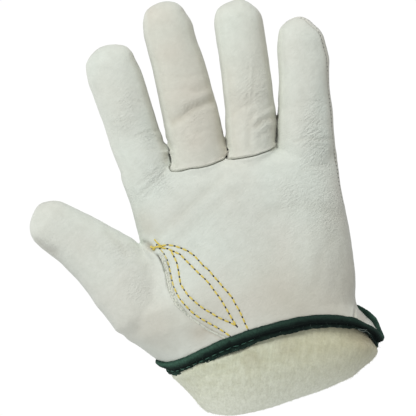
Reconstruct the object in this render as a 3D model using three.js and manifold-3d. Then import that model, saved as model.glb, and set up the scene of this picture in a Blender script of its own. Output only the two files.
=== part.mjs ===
// A leather driver glove lying on its back: +X to the little finger side, +Y to the fingertips,
// +Z out of the palm, with z = 0 on the surface that it lies on. Millimetres.
import * as THREE from 'three';
import { mergeVertices } from 'three/addons/utils/BufferGeometryUtils.js';
import Module from 'manifold-3d';

const wasm = await Module();
wasm.setup();

// Driving dimensions
const leatherWall = 1.6;
const fleeceWall = 5;
const pieceGap = 0.35;
const seamHeight = 15;
const weltRoom = 0.5;
const weltSides = 8;
const weltSteps = 2;
const tipRounding = 0.92;
const tipBluntness = 0.35;
const rimOvershoot = 3;
const above = 70;
const below = -5;
const liningStart = -40;
const liningInset = 3.3;
const bindingInset = 3.6;
const bindingReach = 8.6;
const digitFullness = 0.86;
const bodyFullness = 0.8;
const floorRise = 1.3;
const outerSides = { digit: 18, body: 32, tip: 4 };
const innerSides = { digit: 10, body: 32, tip: 3 };
const bindingSteps = 48;

// Turns a table with named columns into row objects.
const rowsOf = (columns, table) => table.map(
  (values) => Object.fromEntries(columns.map((column, i) => [column, values[i]])));

// Each stall of the glove, from its root inside the hand to the last full section, then the tip point.
// x, y, z: centre of the section. half: half its width. front, back: its depth from the centre.
const digitColumns = ['x', 'y', 'z', 'half', 'front', 'back'];
const digits = {
  index: {
    tip: { x: -52.6, y: 89.6 },
    sections: [
      [-28.0, 1.4, 16, 12.6, 12, 12],
      [-32.4, 16.2, 15, 13.9, 14, 14],
      [-36.0, 27.5, 14.5, 14.5, 14.2, 15.5],
      [-39.9, 38.5, 14, 14.4, 13.2, 15],
      [-43.4, 50.3, 14, 14.4, 13.6, 15],
      [-47.2, 61.3, 14, 14.9, 13.2, 15],
      [-51.4, 73.4, 13.6, 15.1, 12.6, 14.4],
    ],
  },
  middle: {
    tip: { x: -24.2, y: 113.4 },
    sections: [
      [-1.4, 4.1, 16, 13.2, 12, 12],
      [-4.1, 19.5, 15.5, 15.2, 14.6, 14.5],
      [-6.1, 31.6, 15, 15.6, 15, 16],
      [-8.0, 43.7, 14.5, 15.6, 14.2, 15.5],
      [-10.0, 52.5, 14.5, 15.4, 12.6, 15.5],
      [-11.4, 59.0, 14.5, 15.4, 13.8, 15.5],
      [-14.0, 70.1, 14.5, 14.9, 13.4, 15.5],
      [-17.5, 83.3, 14, 14.3, 13.2, 15],
      [-21.9, 98.8, 13.6, 13.9, 12.2, 14.4],
    ],
  },
  ring: {
    tip: { x: 15.5, y: 113.9 },
    sections: [
      [24.5, 9.6, 16, 12.1, 12, 12],
      [24.0, 26.1, 15, 13.6, 14, 14],
      [23.9, 37.1, 14.5, 14.1, 14.3, 15.5],
      [23.4, 48.0, 14.5, 14.4, 13.8, 15.5],
      [22.7, 57.0, 14.5, 14.2, 12.4, 15.5],
      [22.0, 65.0, 14.5, 14.0, 13.4, 15.5],
      [20.9, 74.5, 14, 13.5, 13.2, 15],
      [19.5, 86.6, 14, 13.5, 13.0, 15],
      [17.0, 100.4, 13.6, 13.9, 12.0, 14.4],
    ],
  },
  little: {
    tip: { x: 50.4, y: 105.2 },
    sections: [
      [54.2, 12.4, 15, 13.2, 12, 12],
      [54.2, 31.6, 14, 15.6, 13.4, 13.4],
      [53.7, 43.7, 13.6, 15.4, 13, 14.5],
      [53.4, 54.7, 13.4, 14.9, 12.2, 14.2],
      [52.9, 65.7, 13.4, 14.3, 12.6, 14.2],
      [52.5, 77.8, 13.2, 14.1, 12.2, 14],
      [51.8, 86.6, 13, 13.9, 11.6, 13.8],
    ],
  },
  thumb: {
    tip: { x: -95.3, y: -2.9 },
    sections: [
      [-23.4, -65.2, 18, 11.0, 16, 12],
      [-34.6, -54.4, 18, 20.8, 19, 14],
      [-46.6, -39.0, 17, 20.0, 18, 18],
      [-59.8, -26.0, 16, 17.6, 15.6, 17],
      [-72.9, -16.9, 15.5, 15.5, 14.2, 16.5],
      [-84.0, -10.5, 15, 14.1, 13, 15.6],
    ],
  },
};

// The hand from the webs between the fingers down to the cuff. left, right: its sides. yLeft, yFront,
// yRight, yBack: where the section crosses the two sides, the palm and the back. zSide: height of the
// sides. top: highest point of the palm. under: lowest point of the back, cut off at the surface.
const bodyColumns = ['left', 'right', 'yLeft', 'yFront', 'yRight', 'yBack', 'zSide', 'top', 'under'];
const bodySections = [
  [-43.7, 66.8, 21.7, 27.8, 36.6, 27.8, 14, 21, 7],
  [-47.6, 69.6, 19.5, 25.0, 33.8, 25.0, 14, 26, 2.5],
  [-48.4, 71.0, 16.2, 20.6, 28.9, 20.6, 14, 30, 0],
  [-45.2, 72.9, 9.6, 9.6, 12.4, 9.6, 14.5, 33.5, -1.5],
  [-41.4, 76.4, -2.5, -2.5, -2.5, -2.5, 15, 36, -2],
  [-37.9, 79.2, -17.9, -17.9, -17.9, -17.9, 15, 38, -2],
  [-35.5, 81.0, -32.2, -32.2, -32.2, -31.1, 15, 40, -2],
  [-50.4, 81.7, -62.6, -45.4, -44.3, -39.9, 15, 43, -1],
  [-42.6, 82.2, -72.4, -55.3, -52.6, -50.0, 15, 45.5, 0.5],
];

// The cuff's edge, once round from the little finger side over the palm.
const rimColumns = ['x', 'y', 'z'];
const rim = [
  [96.4, -69.2, 13],
  [90.0, -65.2, 25.5],
  [78.6, -60.5, 37.5],
  [57.5, -59.1, 44.5],
  [30.0, -64.9, 47.5],
  [2.5, -74.8, 45],
  [-12.9, -82.2, 37],
  [-21.7, -84.4, 27],
  [-28.3, -83.6, 17],
  [-25.2, -82.2, 8],
  [-14.0, -76.7, 2.5],
  [4.7, -67.9, floorRise],
  [32.2, -59.1, floorRise],
  [61.5, -53.2, floorRise],
  [80.5, -52.9, 2.6],
  [92.4, -60.0, 6.4],
];

// Broad mounds and dents of the palm: place, radii and height.
const mounds = rowsOf(['x', 'y', 'rx', 'ry', 'height'], [
  [-22, -52, 20, 24, 2.5],
  [-8, -16, 16, 20, -3],
  [30, -22, 22, 20, -2],
  [62, -20, 14, 34, 2.5],
  [52, 18, 12, 9, 1.5],
  [22, 12, 22, 8, 1.2],
]);

// The pile lining past the cuff's edge, in the same columns as the hand, down to its fold.
const fleeceSections = [
  [-19.8, 93.0, -92.5, -75.5, -79.0, -70.0, 14, 45.5, 0],
  [-12.9, 90.6, -100.2, -87.0, -84.0, -80.0, 14, 45, -1.5],
  [-7.2, 85.0, -106.5, -99.0, -88.0, -90.0, 14, 40, -1.5],
  [-2.4, 78.0, -111.2, -108.0, -93.0, -99.5, 14, 34, -1],
];
const fleeceFoldSteps = 3;

// The binding's section: along from the leather's edge outwards, rise from the middle of its thickness.
const bindingSection = rowsOf(['along', 'rise'], [
  [0.2, 1.3], [1.1, 2.2], [2.4, 2.5], [3.7, 2.1], [4.7, 0.9], [5.2, 0.3], [7.6, 0.3],
  [8.2, -0.4], [7.6, -1.2], [4.6, -1.3], [2.4, -1.8], [0.2, -1.6],
]);

// Seams of the palm, seen from above.
const fingerSeam = [
  [-20.1, 21.0], [-16.2, 19.9], [-7.4, 21.5], [1.7, 23.8], [10.2, 27.2],
  [17.3, 26.8], [25.3, 28.3], [33.2, 30.5], [37.1, 33.6],
];
const fingerGaps = {
  indexMiddle: [[-22.3, 33.8], [-38.8, 87.7], [-45, 118]],
  middleRing: [[9.4, 37.5], [2.5, 79], [-1.4, 118]],
  ringLittle: [[38.0, 43.7], [36.4, 92], [35.5, 118]],
};
const thumbSeam = [
  [-38.2, -18.6], [-33.8, -21.2], [-30.0, -24.2], [-27.0, -26.4], [-23.9, -32.2], [-21.7, -38.8],
  [-19.5, -46.8], [-16.2, -52.5], [-9.6, -59.4], [-1.4, -65.2], [6.3, -69.3], [11.3, -71.2], [26, -78],
];
const crotchPoints = 3;
const thumbBackSeam = [[-41, -22], [-34, -50], [-26, -92]];
// The welt in that seam, with its half width: x, y, radius.
const weltPath = rowsOf(['x', 'y', 'radius'], [
  [-28.5, -25.3, 0.6], [-26.2, -27.6, 1.0], [-23.9, -32.2, 1.1], [-21.7, -38.8, 1.1], [-19.5, -46.8, 1.0],
  [-16.2, -52.5, 0.9], [-9.6, -59.4, 0.9], [-1.4, -65.2, 0.8], [6.3, -69.3, 0.7], [10.4, -70.9, 0.7],
]);
const thumbOutside = [[-60, -110], [-120, -60], [-120, 10], [-56, 12]];

const cuffOutwards = new THREE.Vector3(0, -1, 0);
const power = (value, exponent) => Math.sign(value) * Math.abs(value) ** exponent;

// A closed body from rings of points: wall between neighbouring rings, a fan over each end.
function loft(rings) {
  const sides = rings[0].length;
  const centre = (ring) => ring.reduce((sum, p) => sum.clone().add(p)).divideScalar(ring.length);
  const points = [...rings.flat(), centre(rings[0]), centre(rings.at(-1))];
  const faces = [];
  for (let i = 0; i < sides; i += 1) {
    const j = (i + 1) % sides;
    for (let r = 0; r < rings.length - 1; r += 1) {
      const a = r * sides;
      const b = a + sides;
      faces.push(a + i, a + j, b + j, a + i, b + j, b + i);
    }
    const last = (rings.length - 1) * sides;
    faces.push(points.length - 2, j, i, points.length - 1, last + i, last + j);
  }
  return bodyFrom(points, faces);
}

// A closed ring-shaped body from rings whose last joins the first.
function hoop(rings) {
  const sides = rings[0].length;
  const faces = [];
  rings.forEach((ring, r) => {
    const a = r * sides;
    const b = ((r + 1) % rings.length) * sides;
    for (let i = 0; i < sides; i += 1) {
      const j = (i + 1) % sides;
      faces.push(a + i, a + j, b + j, a + i, b + j, b + i);
    }
  });
  return bodyFrom(rings.flat(), faces);
}

// Makes the geometry and turns its faces out if they point in.
function bodyFrom(points, faces) {
  let volume = 0;
  for (let f = 0; f < faces.length; f += 3) {
    const [a, b, c] = faces.slice(f, f + 3).map((k) => points[k]);
    volume += a.dot(b.clone().cross(c));
  }
  const places = points.flatMap((point) => point.toArray());
  const geometry = new THREE.BufferGeometry();
  geometry.setAttribute('position', new THREE.Float32BufferAttribute(places, 3));
  geometry.setIndex(volume < 0 ? faces.slice().reverse() : faces);
  return geometry;
}

function solidOf(source) {
  const plain = source.clone();
  plain.deleteAttribute('normal');
  plain.deleteAttribute('uv');
  const geometry = mergeVertices(plain, 1e-4);
  return new wasm.Manifold(new wasm.Mesh({
    numProp: 3,
    vertProperties: new Float32Array(geometry.attributes.position.array),
    triVerts: new Uint32Array(geometry.index.array),
  }));
}

function geometryOf(solid) {
  const mesh = solid.getMesh();
  const places = new Float32Array(mesh.vertProperties);
  const geometry = new THREE.BufferGeometry();
  geometry.setAttribute('position', new THREE.BufferAttribute(places, 3));
  geometry.setIndex(new THREE.BufferAttribute(new Uint32Array(mesh.triVerts), 1));
  return geometry;
}

// An upright prism over an outline seen from above.
function prism(outline, low, high) {
  const shape = new THREE.Shape(outline.map(([x, y]) => new THREE.Vector2(x, y)));
  const geometry = new THREE.ExtrudeGeometry(shape, { depth: high - low, bevelEnabled: false });
  geometry.translate(0, 0, low);
  return solidOf(geometry);
}

// An open line seen from above, moved sideways by a distance, or by one for each of its points.
function besideLine(line, distances) {
  return line.map((point, i) => {
    const before = line[Math.max(i - 1, 0)];
    const after = line[Math.min(i + 1, line.length - 1)];
    const length = Math.hypot(after[0] - before[0], after[1] - before[1]);
    const distance = Array.isArray(distances) ? distances[i] : distances;
    return [
      point[0] - (after[1] - before[1]) / length * distance,
      point[1] + (after[0] - before[0]) / length * distance,
    ];
  });
}

// A smooth curve through a row of points.
function smooth(points, closed = false) {
  return new THREE.CatmullRomCurve3(points, closed, 'centripetal');
}

// Rings between the given ones, on a smooth curve through each column of points.
function refined(rings, steps) {
  const columns = rings[0].map((_, i) => smooth(rings.map((ring) => ring[i])));
  const lowest = Math.min(...rings.flat().map((point) => point.z));
  return Array.from({ length: steps + 1 }, (_, k) => columns.map((curve) => {
    const point = curve.getPoint(k / steps);
    point.z = Math.max(point.z, lowest);
    return point;
  }));
}

// Points of one stall's section, smaller by inset on every side and no lower than it.
function digitRing(section, along, sides, inset, scale = 1) {
  return Array.from({ length: sides }, (_, i) => {
    const turn = i / sides * Math.PI * 2;
    const across = power(Math.cos(turn), digitFullness) * (section.half - inset) * scale;
    const rise = power(Math.sin(turn), digitFullness) * scale;
    const depth = rise > 0 ? section.front - inset : section.back - inset;
    return new THREE.Vector3(
      section.x + along.y * across,
      section.y - along.x * across,
      Math.max(section.z + rise * depth, inset));
  });
}

// One stall with its rounded tip, smaller by inset on every side.
function digitSolid({ sections, tip }, { digit: sides, tip: tipSteps }, inset) {
  const rows = rowsOf(digitColumns, sections);
  const steps = rows.length - 1;
  const line = smooth(rows.map((row) => new THREE.Vector3(row.x, row.y, 0)));
  const full = rows.map((row, k) => digitRing(row, line.getTangent(k / steps), sides, inset));
  const last = rows.at(-1);
  const reach = new THREE.Vector3(tip.x - last.x, tip.y - last.y, 0);
  const along = reach.clone().normalize();
  const capLength = reach.length() - inset;
  const cap = Array.from({ length: tipSteps }, (_, k) => {
    const turn = (k + 1) / (tipSteps + tipBluntness) * Math.PI / 2;
    const shift = along.clone().multiplyScalar(capLength * Math.sin(turn));
    const place = { ...last, x: last.x + shift.x, y: last.y + shift.y };
    return digitRing(place, along, sides, inset, Math.cos(turn) ** tipRounding);
  });
  return solidOf(loft([...refined(full, steps), ...cap]));
}

function moundHeight(x, y) {
  return mounds.reduce((sum, m) => (
    sum + m.height * Math.exp(-(((x - m.x) / m.rx) ** 2) - ((y - m.y) / m.ry) ** 2)), 0);
}

// Points of one section of the hand or of the lining.
function bodyRing(row, sides, relief) {
  const middle = (row.left + row.right) / 2;
  const half = (row.right - row.left) / 2;
  return Array.from({ length: sides }, (_, i) => {
    const turn = i / sides * Math.PI * 2;
    const side = Math.cos(turn);
    const rise = Math.sin(turn);
    const x = middle + half * power(side, bodyFullness);
    const level = (row.yLeft + row.yRight) / 2 + (row.yRight - row.yLeft) / 2 * power(side, bodyFullness);
    const bow = (rise > 0 ? row.yFront : row.yBack) - (row.yLeft + row.yRight) / 2;
    const y = level + bow * rise ** 2;
    const depth = rise > 0 ? row.top - row.zSide : row.zSide - row.under;
    const mound = relief && rise > 0 ? moundHeight(x, y) * rise : 0;
    return new THREE.Vector3(x, y, Math.max(row.zSide + depth * power(rise, bodyFullness) + mound, 0));
  });
}

function rimRing(sides) {
  const points = rowsOf(rimColumns, rim).map((p) => new THREE.Vector3(p.x, p.y, p.z));
  const curve = smooth(points, true);
  return Array.from({ length: sides }, (_, i) => curve.getPoint(i / sides));
}

// Rings moved inwards, along the surface's own normals or square to a direction that is given.
function insetRings(rings, distance, direction) {
  const sides = rings[0].length;
  return rings.map((ring, r) => {
    const above = rings[Math.max(r - 1, 0)];
    const below = rings[Math.min(r + 1, rings.length - 1)];
    return ring.map((point, i) => {
      const round = ring[(i + 1) % sides].clone().sub(ring[(i + sides - 1) % sides]);
      const down = direction ? direction.clone() : below[i].clone().sub(above[i]);
      const inward = down.cross(round).normalize();
      const moved = point.clone().addScaledVector(inward, distance);
      moved.z = Math.max(moved.z, distance);
      return moved;
    });
  });
}

function handRings(sides, steps) {
  const sections = rowsOf(bodyColumns, bodySections).map((row) => bodyRing(row, sides, true));
  return refined([...sections, rimRing(sides)], steps);
}

// The leather's edge at the cuff with its directions: out along the lining, and off the surface.
function rimFrames(count) {
  const points = rimRing(count);
  const towards = bodyRing(rowsOf(bodyColumns, fleeceSections)[0], count, false);
  return points.map((point, i) => {
    const round = points[(i + 1) % count].clone().sub(points[(i + count - 1) % count]).normalize();
    const along = towards[i].clone().sub(point);
    along.addScaledVector(round, -along.dot(round)).normalize();
    return { point, along, off: round.clone().cross(along).normalize() };
  });
}

// The binding, or the room that it needs where clearance is given.
function bindingRings(clearance = 0) {
  const section = bindingSection.map((corner, i) => {
    const before = bindingSection.at(i - 1);
    const after = bindingSection[(i + 1) % bindingSection.length];
    const side = new THREE.Vector2(before.rise - after.rise, after.along - before.along).normalize();
    return { along: corner.along + side.x * clearance, rise: corner.rise + side.y * clearance };
  });
  return rimFrames(bindingSteps).map(({ point, along, off }) => section.map((corner) => {
    const place = point.clone()
      .addScaledVector(along, corner.along)
      .addScaledVector(off, corner.rise - leatherWall / 2);
    place.z = Math.max(place.z, -clearance);
    return place;
  }));
}

// The pile's outer rings: in the cuff, under the binding, then out to the fold.
function fleeceRings() {
  const sides = outerSides.body;
  const inside = insetRings(handRings(sides, handSteps), liningInset)
    .filter((ring) => ring[sides / 4].y < liningStart);
  const outside = rowsOf(bodyColumns, fleeceSections).map((row) => bodyRing(row, sides, false));
  const passing = rimFrames(sides).map(({ point, along }) => (
    point.clone().addScaledVector(along, bindingReach)));
  const underBinding = insetRings([passing], bindingInset, cuffOutwards)[0];
  // On the flared side the pile runs straight past the leather's edge instead of into the flare.
  const edge = inside.pop().map((point, i) => {
    const straight = inside.at(-1)[i].clone().lerp(underBinding[i], 0.5);
    return point.lerp(straight, Math.max(Math.cos(i / sides * Math.PI * 2), 0));
  });
  return [...inside, edge, underBinding, ...refined(outside, outside.length + 1)];
}

function fleece() {
  const outer = fleeceRings();
  const inner = insetRings(outer, fleeceWall, cuffOutwards);
  const end = outer.length - 1;
  const fold = Array.from({ length: fleeceFoldSteps }, (_, k) => {
    const turn = (k + 1) / (fleeceFoldSteps + 1) * Math.PI;
    return outer[end].map((point, i) => {
      const centre = point.clone().lerp(inner[end][i], 0.5);
      const along = point.clone().sub(outer[end - 1][i]).normalize();
      return centre.clone()
        .addScaledVector(point.clone().sub(centre), Math.cos(turn))
        .addScaledVector(along, Math.sin(turn) * fleeceWall / 2);
    });
  });
  return hoop([...outer, ...fold, ...inner.reverse()]);
}

// The welt, half sunk in the seam.
function welt(form) {
  const surface = new THREE.Mesh(geometryOf(form), new THREE.MeshBasicMaterial());
  const down = new THREE.Raycaster();
  const places = weltPath.map(({ x, y, radius }) => {
    down.set(new THREE.Vector3(x, y, above), new THREE.Vector3(0, 0, -1));
    const z = down.intersectObject(surface)[0].point.z - radius / 2;
    return new THREE.Vector3(x, y, z);
  });
  const path = smooth(places);
  const steps = (weltPath.length - 1) * weltSteps;
  const rings = Array.from({ length: steps + 1 }, (_, k) => {
    const point = path.getPoint(k / steps);
    const along = path.getTangent(k / steps);
    const across = along.clone().cross(new THREE.Vector3(0, 0, 1)).normalize();
    const up = across.clone().cross(along);
    const row = k / weltSteps;
    const radius = (weltPath[Math.floor(row)].radius + weltPath[Math.ceil(row)].radius) / 2;
    return Array.from({ length: weltSides }, (_, i) => {
      const turn = i / weltSides * Math.PI * 2;
      return point.clone()
        .addScaledVector(across, Math.cos(turn) * radius)
        .addScaledVector(up, Math.sin(turn) * radius);
    });
  });
  return loft(rings);
}

// Outer and inner forms of the leather, and the wall between them.
const handSteps = 10;
const outerHand = loft(handRings(outerSides.body, handSteps));
const innerRings = insetRings(handRings(innerSides.body, handSteps), leatherWall);
const pastRim = innerRings.at(-1).map((point, i) => {
  const onwards = point.clone().sub(innerRings.at(-2)[i]).setLength(rimOvershoot);
  return onwards.add(point);
});
innerRings[0].forEach((point) => { point.y -= leatherWall; });
const innerHand = loft([...innerRings, pastRim]);

let outerForm = solidOf(outerHand);
let innerForm = solidOf(innerHand);
for (const digit of Object.values(digits)) {
  outerForm = outerForm.add(digitSolid(digit, outerSides, 0));
  innerForm = innerForm.add(digitSolid(digit, innerSides, leatherWall));
}
const bindingRoom = solidOf(hoop(bindingRings(pieceGap)));
const leather = outerForm.subtract(innerForm).subtract(bindingRoom);

// The pieces of leather, cut apart along the seams.
const half = pieceGap / 2;
const weltHalf = Math.max(...weltPath.map((row) => row.radius)) + weltRoom;
const thumbOpening = thumbSeam.map((_, i) => (i < crotchPoints ? half : weltHalf));
const frontLow = seamHeight + half;
const backHigh = seamHeight - half;
const wide = [[-130, -130], [130, -130], [130, 130], [-130, 130]];

const middleOutline = (distance) => [
  ...besideLine([...fingerGaps.indexMiddle].reverse().concat(fingerSeam.slice(0, 5)), distance),
  ...besideLine(fingerGaps.middleRing, distance),
];
const ringOutline = (distance) => [
  ...besideLine([...fingerGaps.middleRing].reverse().concat(fingerSeam.slice(4)), distance),
  ...besideLine(fingerGaps.ringLittle, distance),
];
const thumbFrontOutline = (distance) => [...besideLine(thumbSeam, distance), ...thumbOutside];
const thumbBackOutline = (distance) => [...besideLine(thumbBackSeam, distance), ...thumbOutside];

const middleFront = leather.intersect(prism(middleOutline(half), frontLow, above));
const ringFront = leather.intersect(prism(ringOutline(half), frontLow, above));
const thumbInset = thumbOpening.map((distance) => -distance);
const thumbFront = leather.intersect(prism(thumbFrontOutline(thumbInset), seamHeight, above));
const thumbBack = leather.intersect(prism(thumbBackOutline(-half), below, seamHeight));
const thumb = thumbFront.add(thumbBack);
const palm = leather
  .intersect(prism(wide, frontLow, above))
  .subtract(prism(thumbFrontOutline(thumbOpening), below, above))
  .subtract(prism(middleOutline(-half), below, above))
  .subtract(prism(ringOutline(-half), below, above));
const back = leather
  .intersect(prism(wide, below, backHigh))
  .subtract(prism(thumbBackOutline(half), below, above));

function material(color, roughness) {
  return new THREE.MeshStandardMaterial({ color, roughness, metalness: 0 });
}

const glove = new THREE.Group();

function addPiece(name, geometry, finish) {
  const mesh = new THREE.Mesh(geometry, finish);
  mesh.name = name;
  glove.add(mesh);
  return mesh;
}

const leatherFinish = () => material(0xd9dbcf, 0.6);
const lining = solidOf(fleece()).subtract(bindingRoom);
addPiece('palm_panel', geometryOf(palm), leatherFinish());
addPiece('middle_front', geometryOf(middleFront), leatherFinish());
addPiece('ring_front', geometryOf(ringFront), leatherFinish());
addPiece('back_panel', geometryOf(back), leatherFinish());
addPiece('thumb', geometryOf(thumb), leatherFinish());
addPiece('thumb_welt', welt(outerForm), material(0xe2e0d2, 0.6));
addPiece('cuff_binding', hoop(bindingRings()), material(0x2b4540, 0.85));
addPiece('fleece_lining', geometryOf(lining), material(0xc6c8ab, 0.95));

export default glove;
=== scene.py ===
# Driver glove, looks: leather with its seams and folds, stitches, bound cuff and pile lining.
import math
import bmesh
import bpy
import numpy as np
from mathutils import Matrix, Vector, noise
from mathutils.bvhtree import BVHTree
from mathutils.kdtree import KDTree


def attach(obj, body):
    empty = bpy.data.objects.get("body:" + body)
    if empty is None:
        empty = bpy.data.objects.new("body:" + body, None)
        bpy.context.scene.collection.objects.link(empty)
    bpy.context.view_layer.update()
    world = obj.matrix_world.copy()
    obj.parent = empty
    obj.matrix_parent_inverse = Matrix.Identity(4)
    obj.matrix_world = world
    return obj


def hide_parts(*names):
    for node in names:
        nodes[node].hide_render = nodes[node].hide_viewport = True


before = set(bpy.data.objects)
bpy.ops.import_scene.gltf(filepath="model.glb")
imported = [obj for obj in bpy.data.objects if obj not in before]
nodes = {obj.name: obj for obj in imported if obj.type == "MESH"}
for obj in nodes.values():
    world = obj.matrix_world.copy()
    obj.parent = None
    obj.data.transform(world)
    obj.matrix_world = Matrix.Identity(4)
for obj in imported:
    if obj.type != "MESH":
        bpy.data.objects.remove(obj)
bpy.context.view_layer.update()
mm = 0.001
sameSpot = 0.002 * mm  # vertices closer than this are one
fineSteps = 12  # for each part of a smooth line
aboveAll = 100 * mm  # a height above the whole glove

# How the photograph maps to the glove's frame.
photo = {"pixel": 0.55 * mm, "centre": 207.5, "side": 416}

studio = {
    "lens": 500, "sensor": 36, "aimHeight": 14 * mm, "farthest": 50, "floorRoughness": 0.9,
    "floorSize": 6.0, "floorColor": (1.0, 1.0, 1.0), "floorGlow": 1.02, "floorLight": 0.48,
    "worldColor": (1.0, 0.99, 0.975), "worldStrength": 0.51,
    "lights": [
        {"name": "key", "place": (-0.74, 1.28, 1.03), "size": 0.8, "power": 15.2,
         "color": (1.0, 0.98, 0.97)},
        {"name": "right", "place": (0.74, 1.28, 1.03), "size": 0.8, "power": 3.8,
         "color": (1.0, 0.98, 0.97)},
        {"name": "low", "place": (-1.21, -1.21, 0.56), "size": 0.8, "power": 8.8,
         "color": (1.0, 0.98, 0.97)},
    ],
}


# a line of places in the photograph, in metres on the glove's frame
def fromPhoto(pixels):
    return (np.array(pixels, float) - photo["centre"]) * (photo["pixel"], -photo["pixel"])


def addToScene(name, data):
    made = bpy.data.objects.new(name, data)
    bpy.context.scene.collection.objects.link(made)
    return made


def makeCamera():
    data = bpy.data.cameras.new("camera")
    data.lens = studio["lens"]
    data.sensor_width = studio["sensor"]
    data.clip_end = studio["farthest"]
    camera = addToScene("camera", data)
    middle = fromPhoto([[photo["side"] / 2, photo["side"] / 2]])[0]
    distance = photo["side"] * photo["pixel"] * studio["lens"] / studio["sensor"]
    camera.location = (*middle, studio["aimHeight"] + distance)
    bpy.context.scene.camera = camera


def areaLight(row):
    data = bpy.data.lights.new(row["name"], "AREA")
    data.shape = "DISK"
    data.size = row["size"]
    data.energy = row["power"]
    data.color = row["color"]
    light = addToScene(row["name"], data)
    light.location = row["place"]
    light.rotation_mode = "QUATERNION"
    light.rotation_quaternion = (-light.location).to_track_quat("-Z", "Y")


def makeStudio():
    scene = bpy.context.scene
    scene.view_settings.view_transform = "Standard"
    scene.view_settings.look = "None"
    world = bpy.data.worlds.new("studio")
    scene.world = world
    world.use_nodes = True
    background = world.node_tree.nodes["Background"]
    background.inputs["Color"].default_value = (*studio["worldColor"], 1)
    background.inputs["Strength"].default_value = studio["worldStrength"]
    for row in studio["lights"]:
        areaLight(row)
    bm = bmesh.new()
    bmesh.ops.create_grid(bm, x_segments=1, y_segments=1, size=studio["floorSize"] / 2)
    floor = meshObject("floor", bm)
    material, shader, tree, links = newMaterial("lightTable", studio["floorRoughness"])
    shader.inputs["Base Color"].default_value = (0, 0, 0, 1)
    shader.inputs["Specular IOR Level"].default_value = 0
    shader.inputs["Emission Color"].default_value = (*studio["floorColor"], 1)
    seen = tree.new("ShaderNodeLightPath").outputs["Is Camera Ray"]  # white to look at, a softer light
    extra = mathNode(tree, links, "MULTIPLY", seen, studio["floorGlow"] - studio["floorLight"])
    glow = mathNode(tree, links, "ADD", extra, studio["floorLight"])
    links.new(glow, shader.inputs["Emission Strength"])
    floor.data.materials.append(material)


# mesh helpers
def meshObject(name, bm):
    mesh = bpy.data.meshes.new(name)
    bm.to_mesh(mesh)
    bm.free()
    made = addToScene(name, mesh)
    made.data.polygons.foreach_set("use_smooth", [True] * len(made.data.polygons))
    made.data.update()
    return made


# adds an object's mesh to a bmesh as its modifiers leave it, and removes the object
def takeMesh(bm, obj):
    seen = obj.evaluated_get(bpy.context.evaluated_depsgraph_get())
    bm.from_mesh(seen.to_mesh())
    seen.to_mesh_clear()
    bpy.data.objects.remove(obj)
    return bm


# CAD nodes copied into one bmesh, with their loose triangles merged
def copyNodes(*names):
    bm = bmesh.new()
    for name in names:
        bm.from_mesh(nodes[name].data)
    bmesh.ops.remove_doubles(bm, verts=bm.verts, dist=sameSpot)
    bm.normal_update()
    return bm


def remeshed(bm, voxel):
    obj = meshObject("remeshing", bm)
    modifier = obj.modifiers.new("voxels", "REMESH")
    modifier.mode = "VOXEL"
    modifier.voxel_size = voxel
    return takeMesh(bmesh.new(), obj)


def places(bm):
    return np.array([v.co for v in bm.verts])


def normals(bm):
    bm.normal_update()
    return np.array([v.normal for v in bm.verts])


# nothing sinks below the surface that the glove lies on
def onGround(co):
    return np.column_stack([co[:, :2], np.maximum(co[:, 2], 0)])


def setPlaces(bm, co):
    for v, place in zip(bm.verts, co):
        v.co = place
    bm.normal_update()


# one value for each vertex under each name, for a material or a cut to read
def setLayers(bm, values):
    layers = {name: bm.verts.layers.float.new(name) for name in values}
    for name, layer in layers.items():
        for v, value in zip(bm.verts, values[name]):
            v[layer] = value
    return layers


# moves each vertex towards the middle of its neighbours, open edges only along themselves
def relax(bm, rounds):
    bm.verts.index_update()
    edges = np.array([(e.verts[0].index, e.verts[1].index, e.is_boundary) for e in bm.edges])
    rim = np.zeros(len(bm.verts), bool)
    rim[edges[edges[:, 2] == 1, :2].ravel()] = True
    use = (edges[:, 2] == 1) | ~(rim[edges[:, 0]] | rim[edges[:, 1]])
    reach = (edges[:, 2] == 0) & (rim[edges[:, 0]] ^ rim[edges[:, 1]])
    pairs = np.concatenate([edges[use][:, :2], edges[use][:, 1::-1]])
    inner = edges[reach][:, :2]
    inner = np.where(rim[inner[:, :1]], inner[:, ::-1], inner)
    pairs = np.concatenate([pairs, inner])
    count = np.maximum(np.bincount(pairs[:, 0], minlength=len(rim)), 1)
    co = places(bm)
    for _ in range(rounds):
        total = np.stack([np.bincount(pairs[:, 0], co[pairs[:, 1], k], len(rim)) for k in range(3)], 1)
        co = np.where(count[:, None] > 1, co * 0.5 + total / count[:, None] * 0.5, co)
    setPlaces(bm, co)


# keeps the connected part that reaches furthest along Y
def keepLongest(bm):
    left = set(bm.verts)
    parts = []
    while left:
        start = left.pop()
        part = [start]
        for v in part:
            for edge in v.link_edges:
                other = edge.other_vert(v)
                if other in left:
                    left.discard(other)
                    part.append(other)
        parts.append(part)
    parts.sort(key=lambda part: min(v.co.y for v in part) - max(v.co.y for v in part))
    print("parts", [len(part) for part in parts[:5]])
    bmesh.ops.delete(bm, geom=[v for part in parts[1:] for v in part], context="VERTS")


# from each of some flat places to the nearest part of a line, in metres
def lineDistance(points, line):
    nearest = np.full(len(points), 1.0)
    for start, end in zip(line[:-1], line[1:]):
        run = end - start
        part = np.clip((points - start) @ run / (run @ run), 0, 1)
        nearest = np.minimum(nearest, np.linalg.norm(points - start - part[:, None] * run, axis=1))
    return nearest


def smoothStep(low, high, value):
    part = np.clip((value - low) / (high - low), 0, 1)
    return part * part * (3 - 2 * part)


# raises a share between 0 and 1 to one between the least and 1
def atLeast(least, share):
    return least + (1 - least) * share


# a soft hump: 1 in its middle, fading over a width
def hump(distance, width):
    return np.exp(-(distance / width) ** 2)


def noiseAt(co, scale, seed=0.0):
    return np.array([noise.noise(Vector(p) * scale + Vector((seed, seed, seed))) for p in co])


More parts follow.
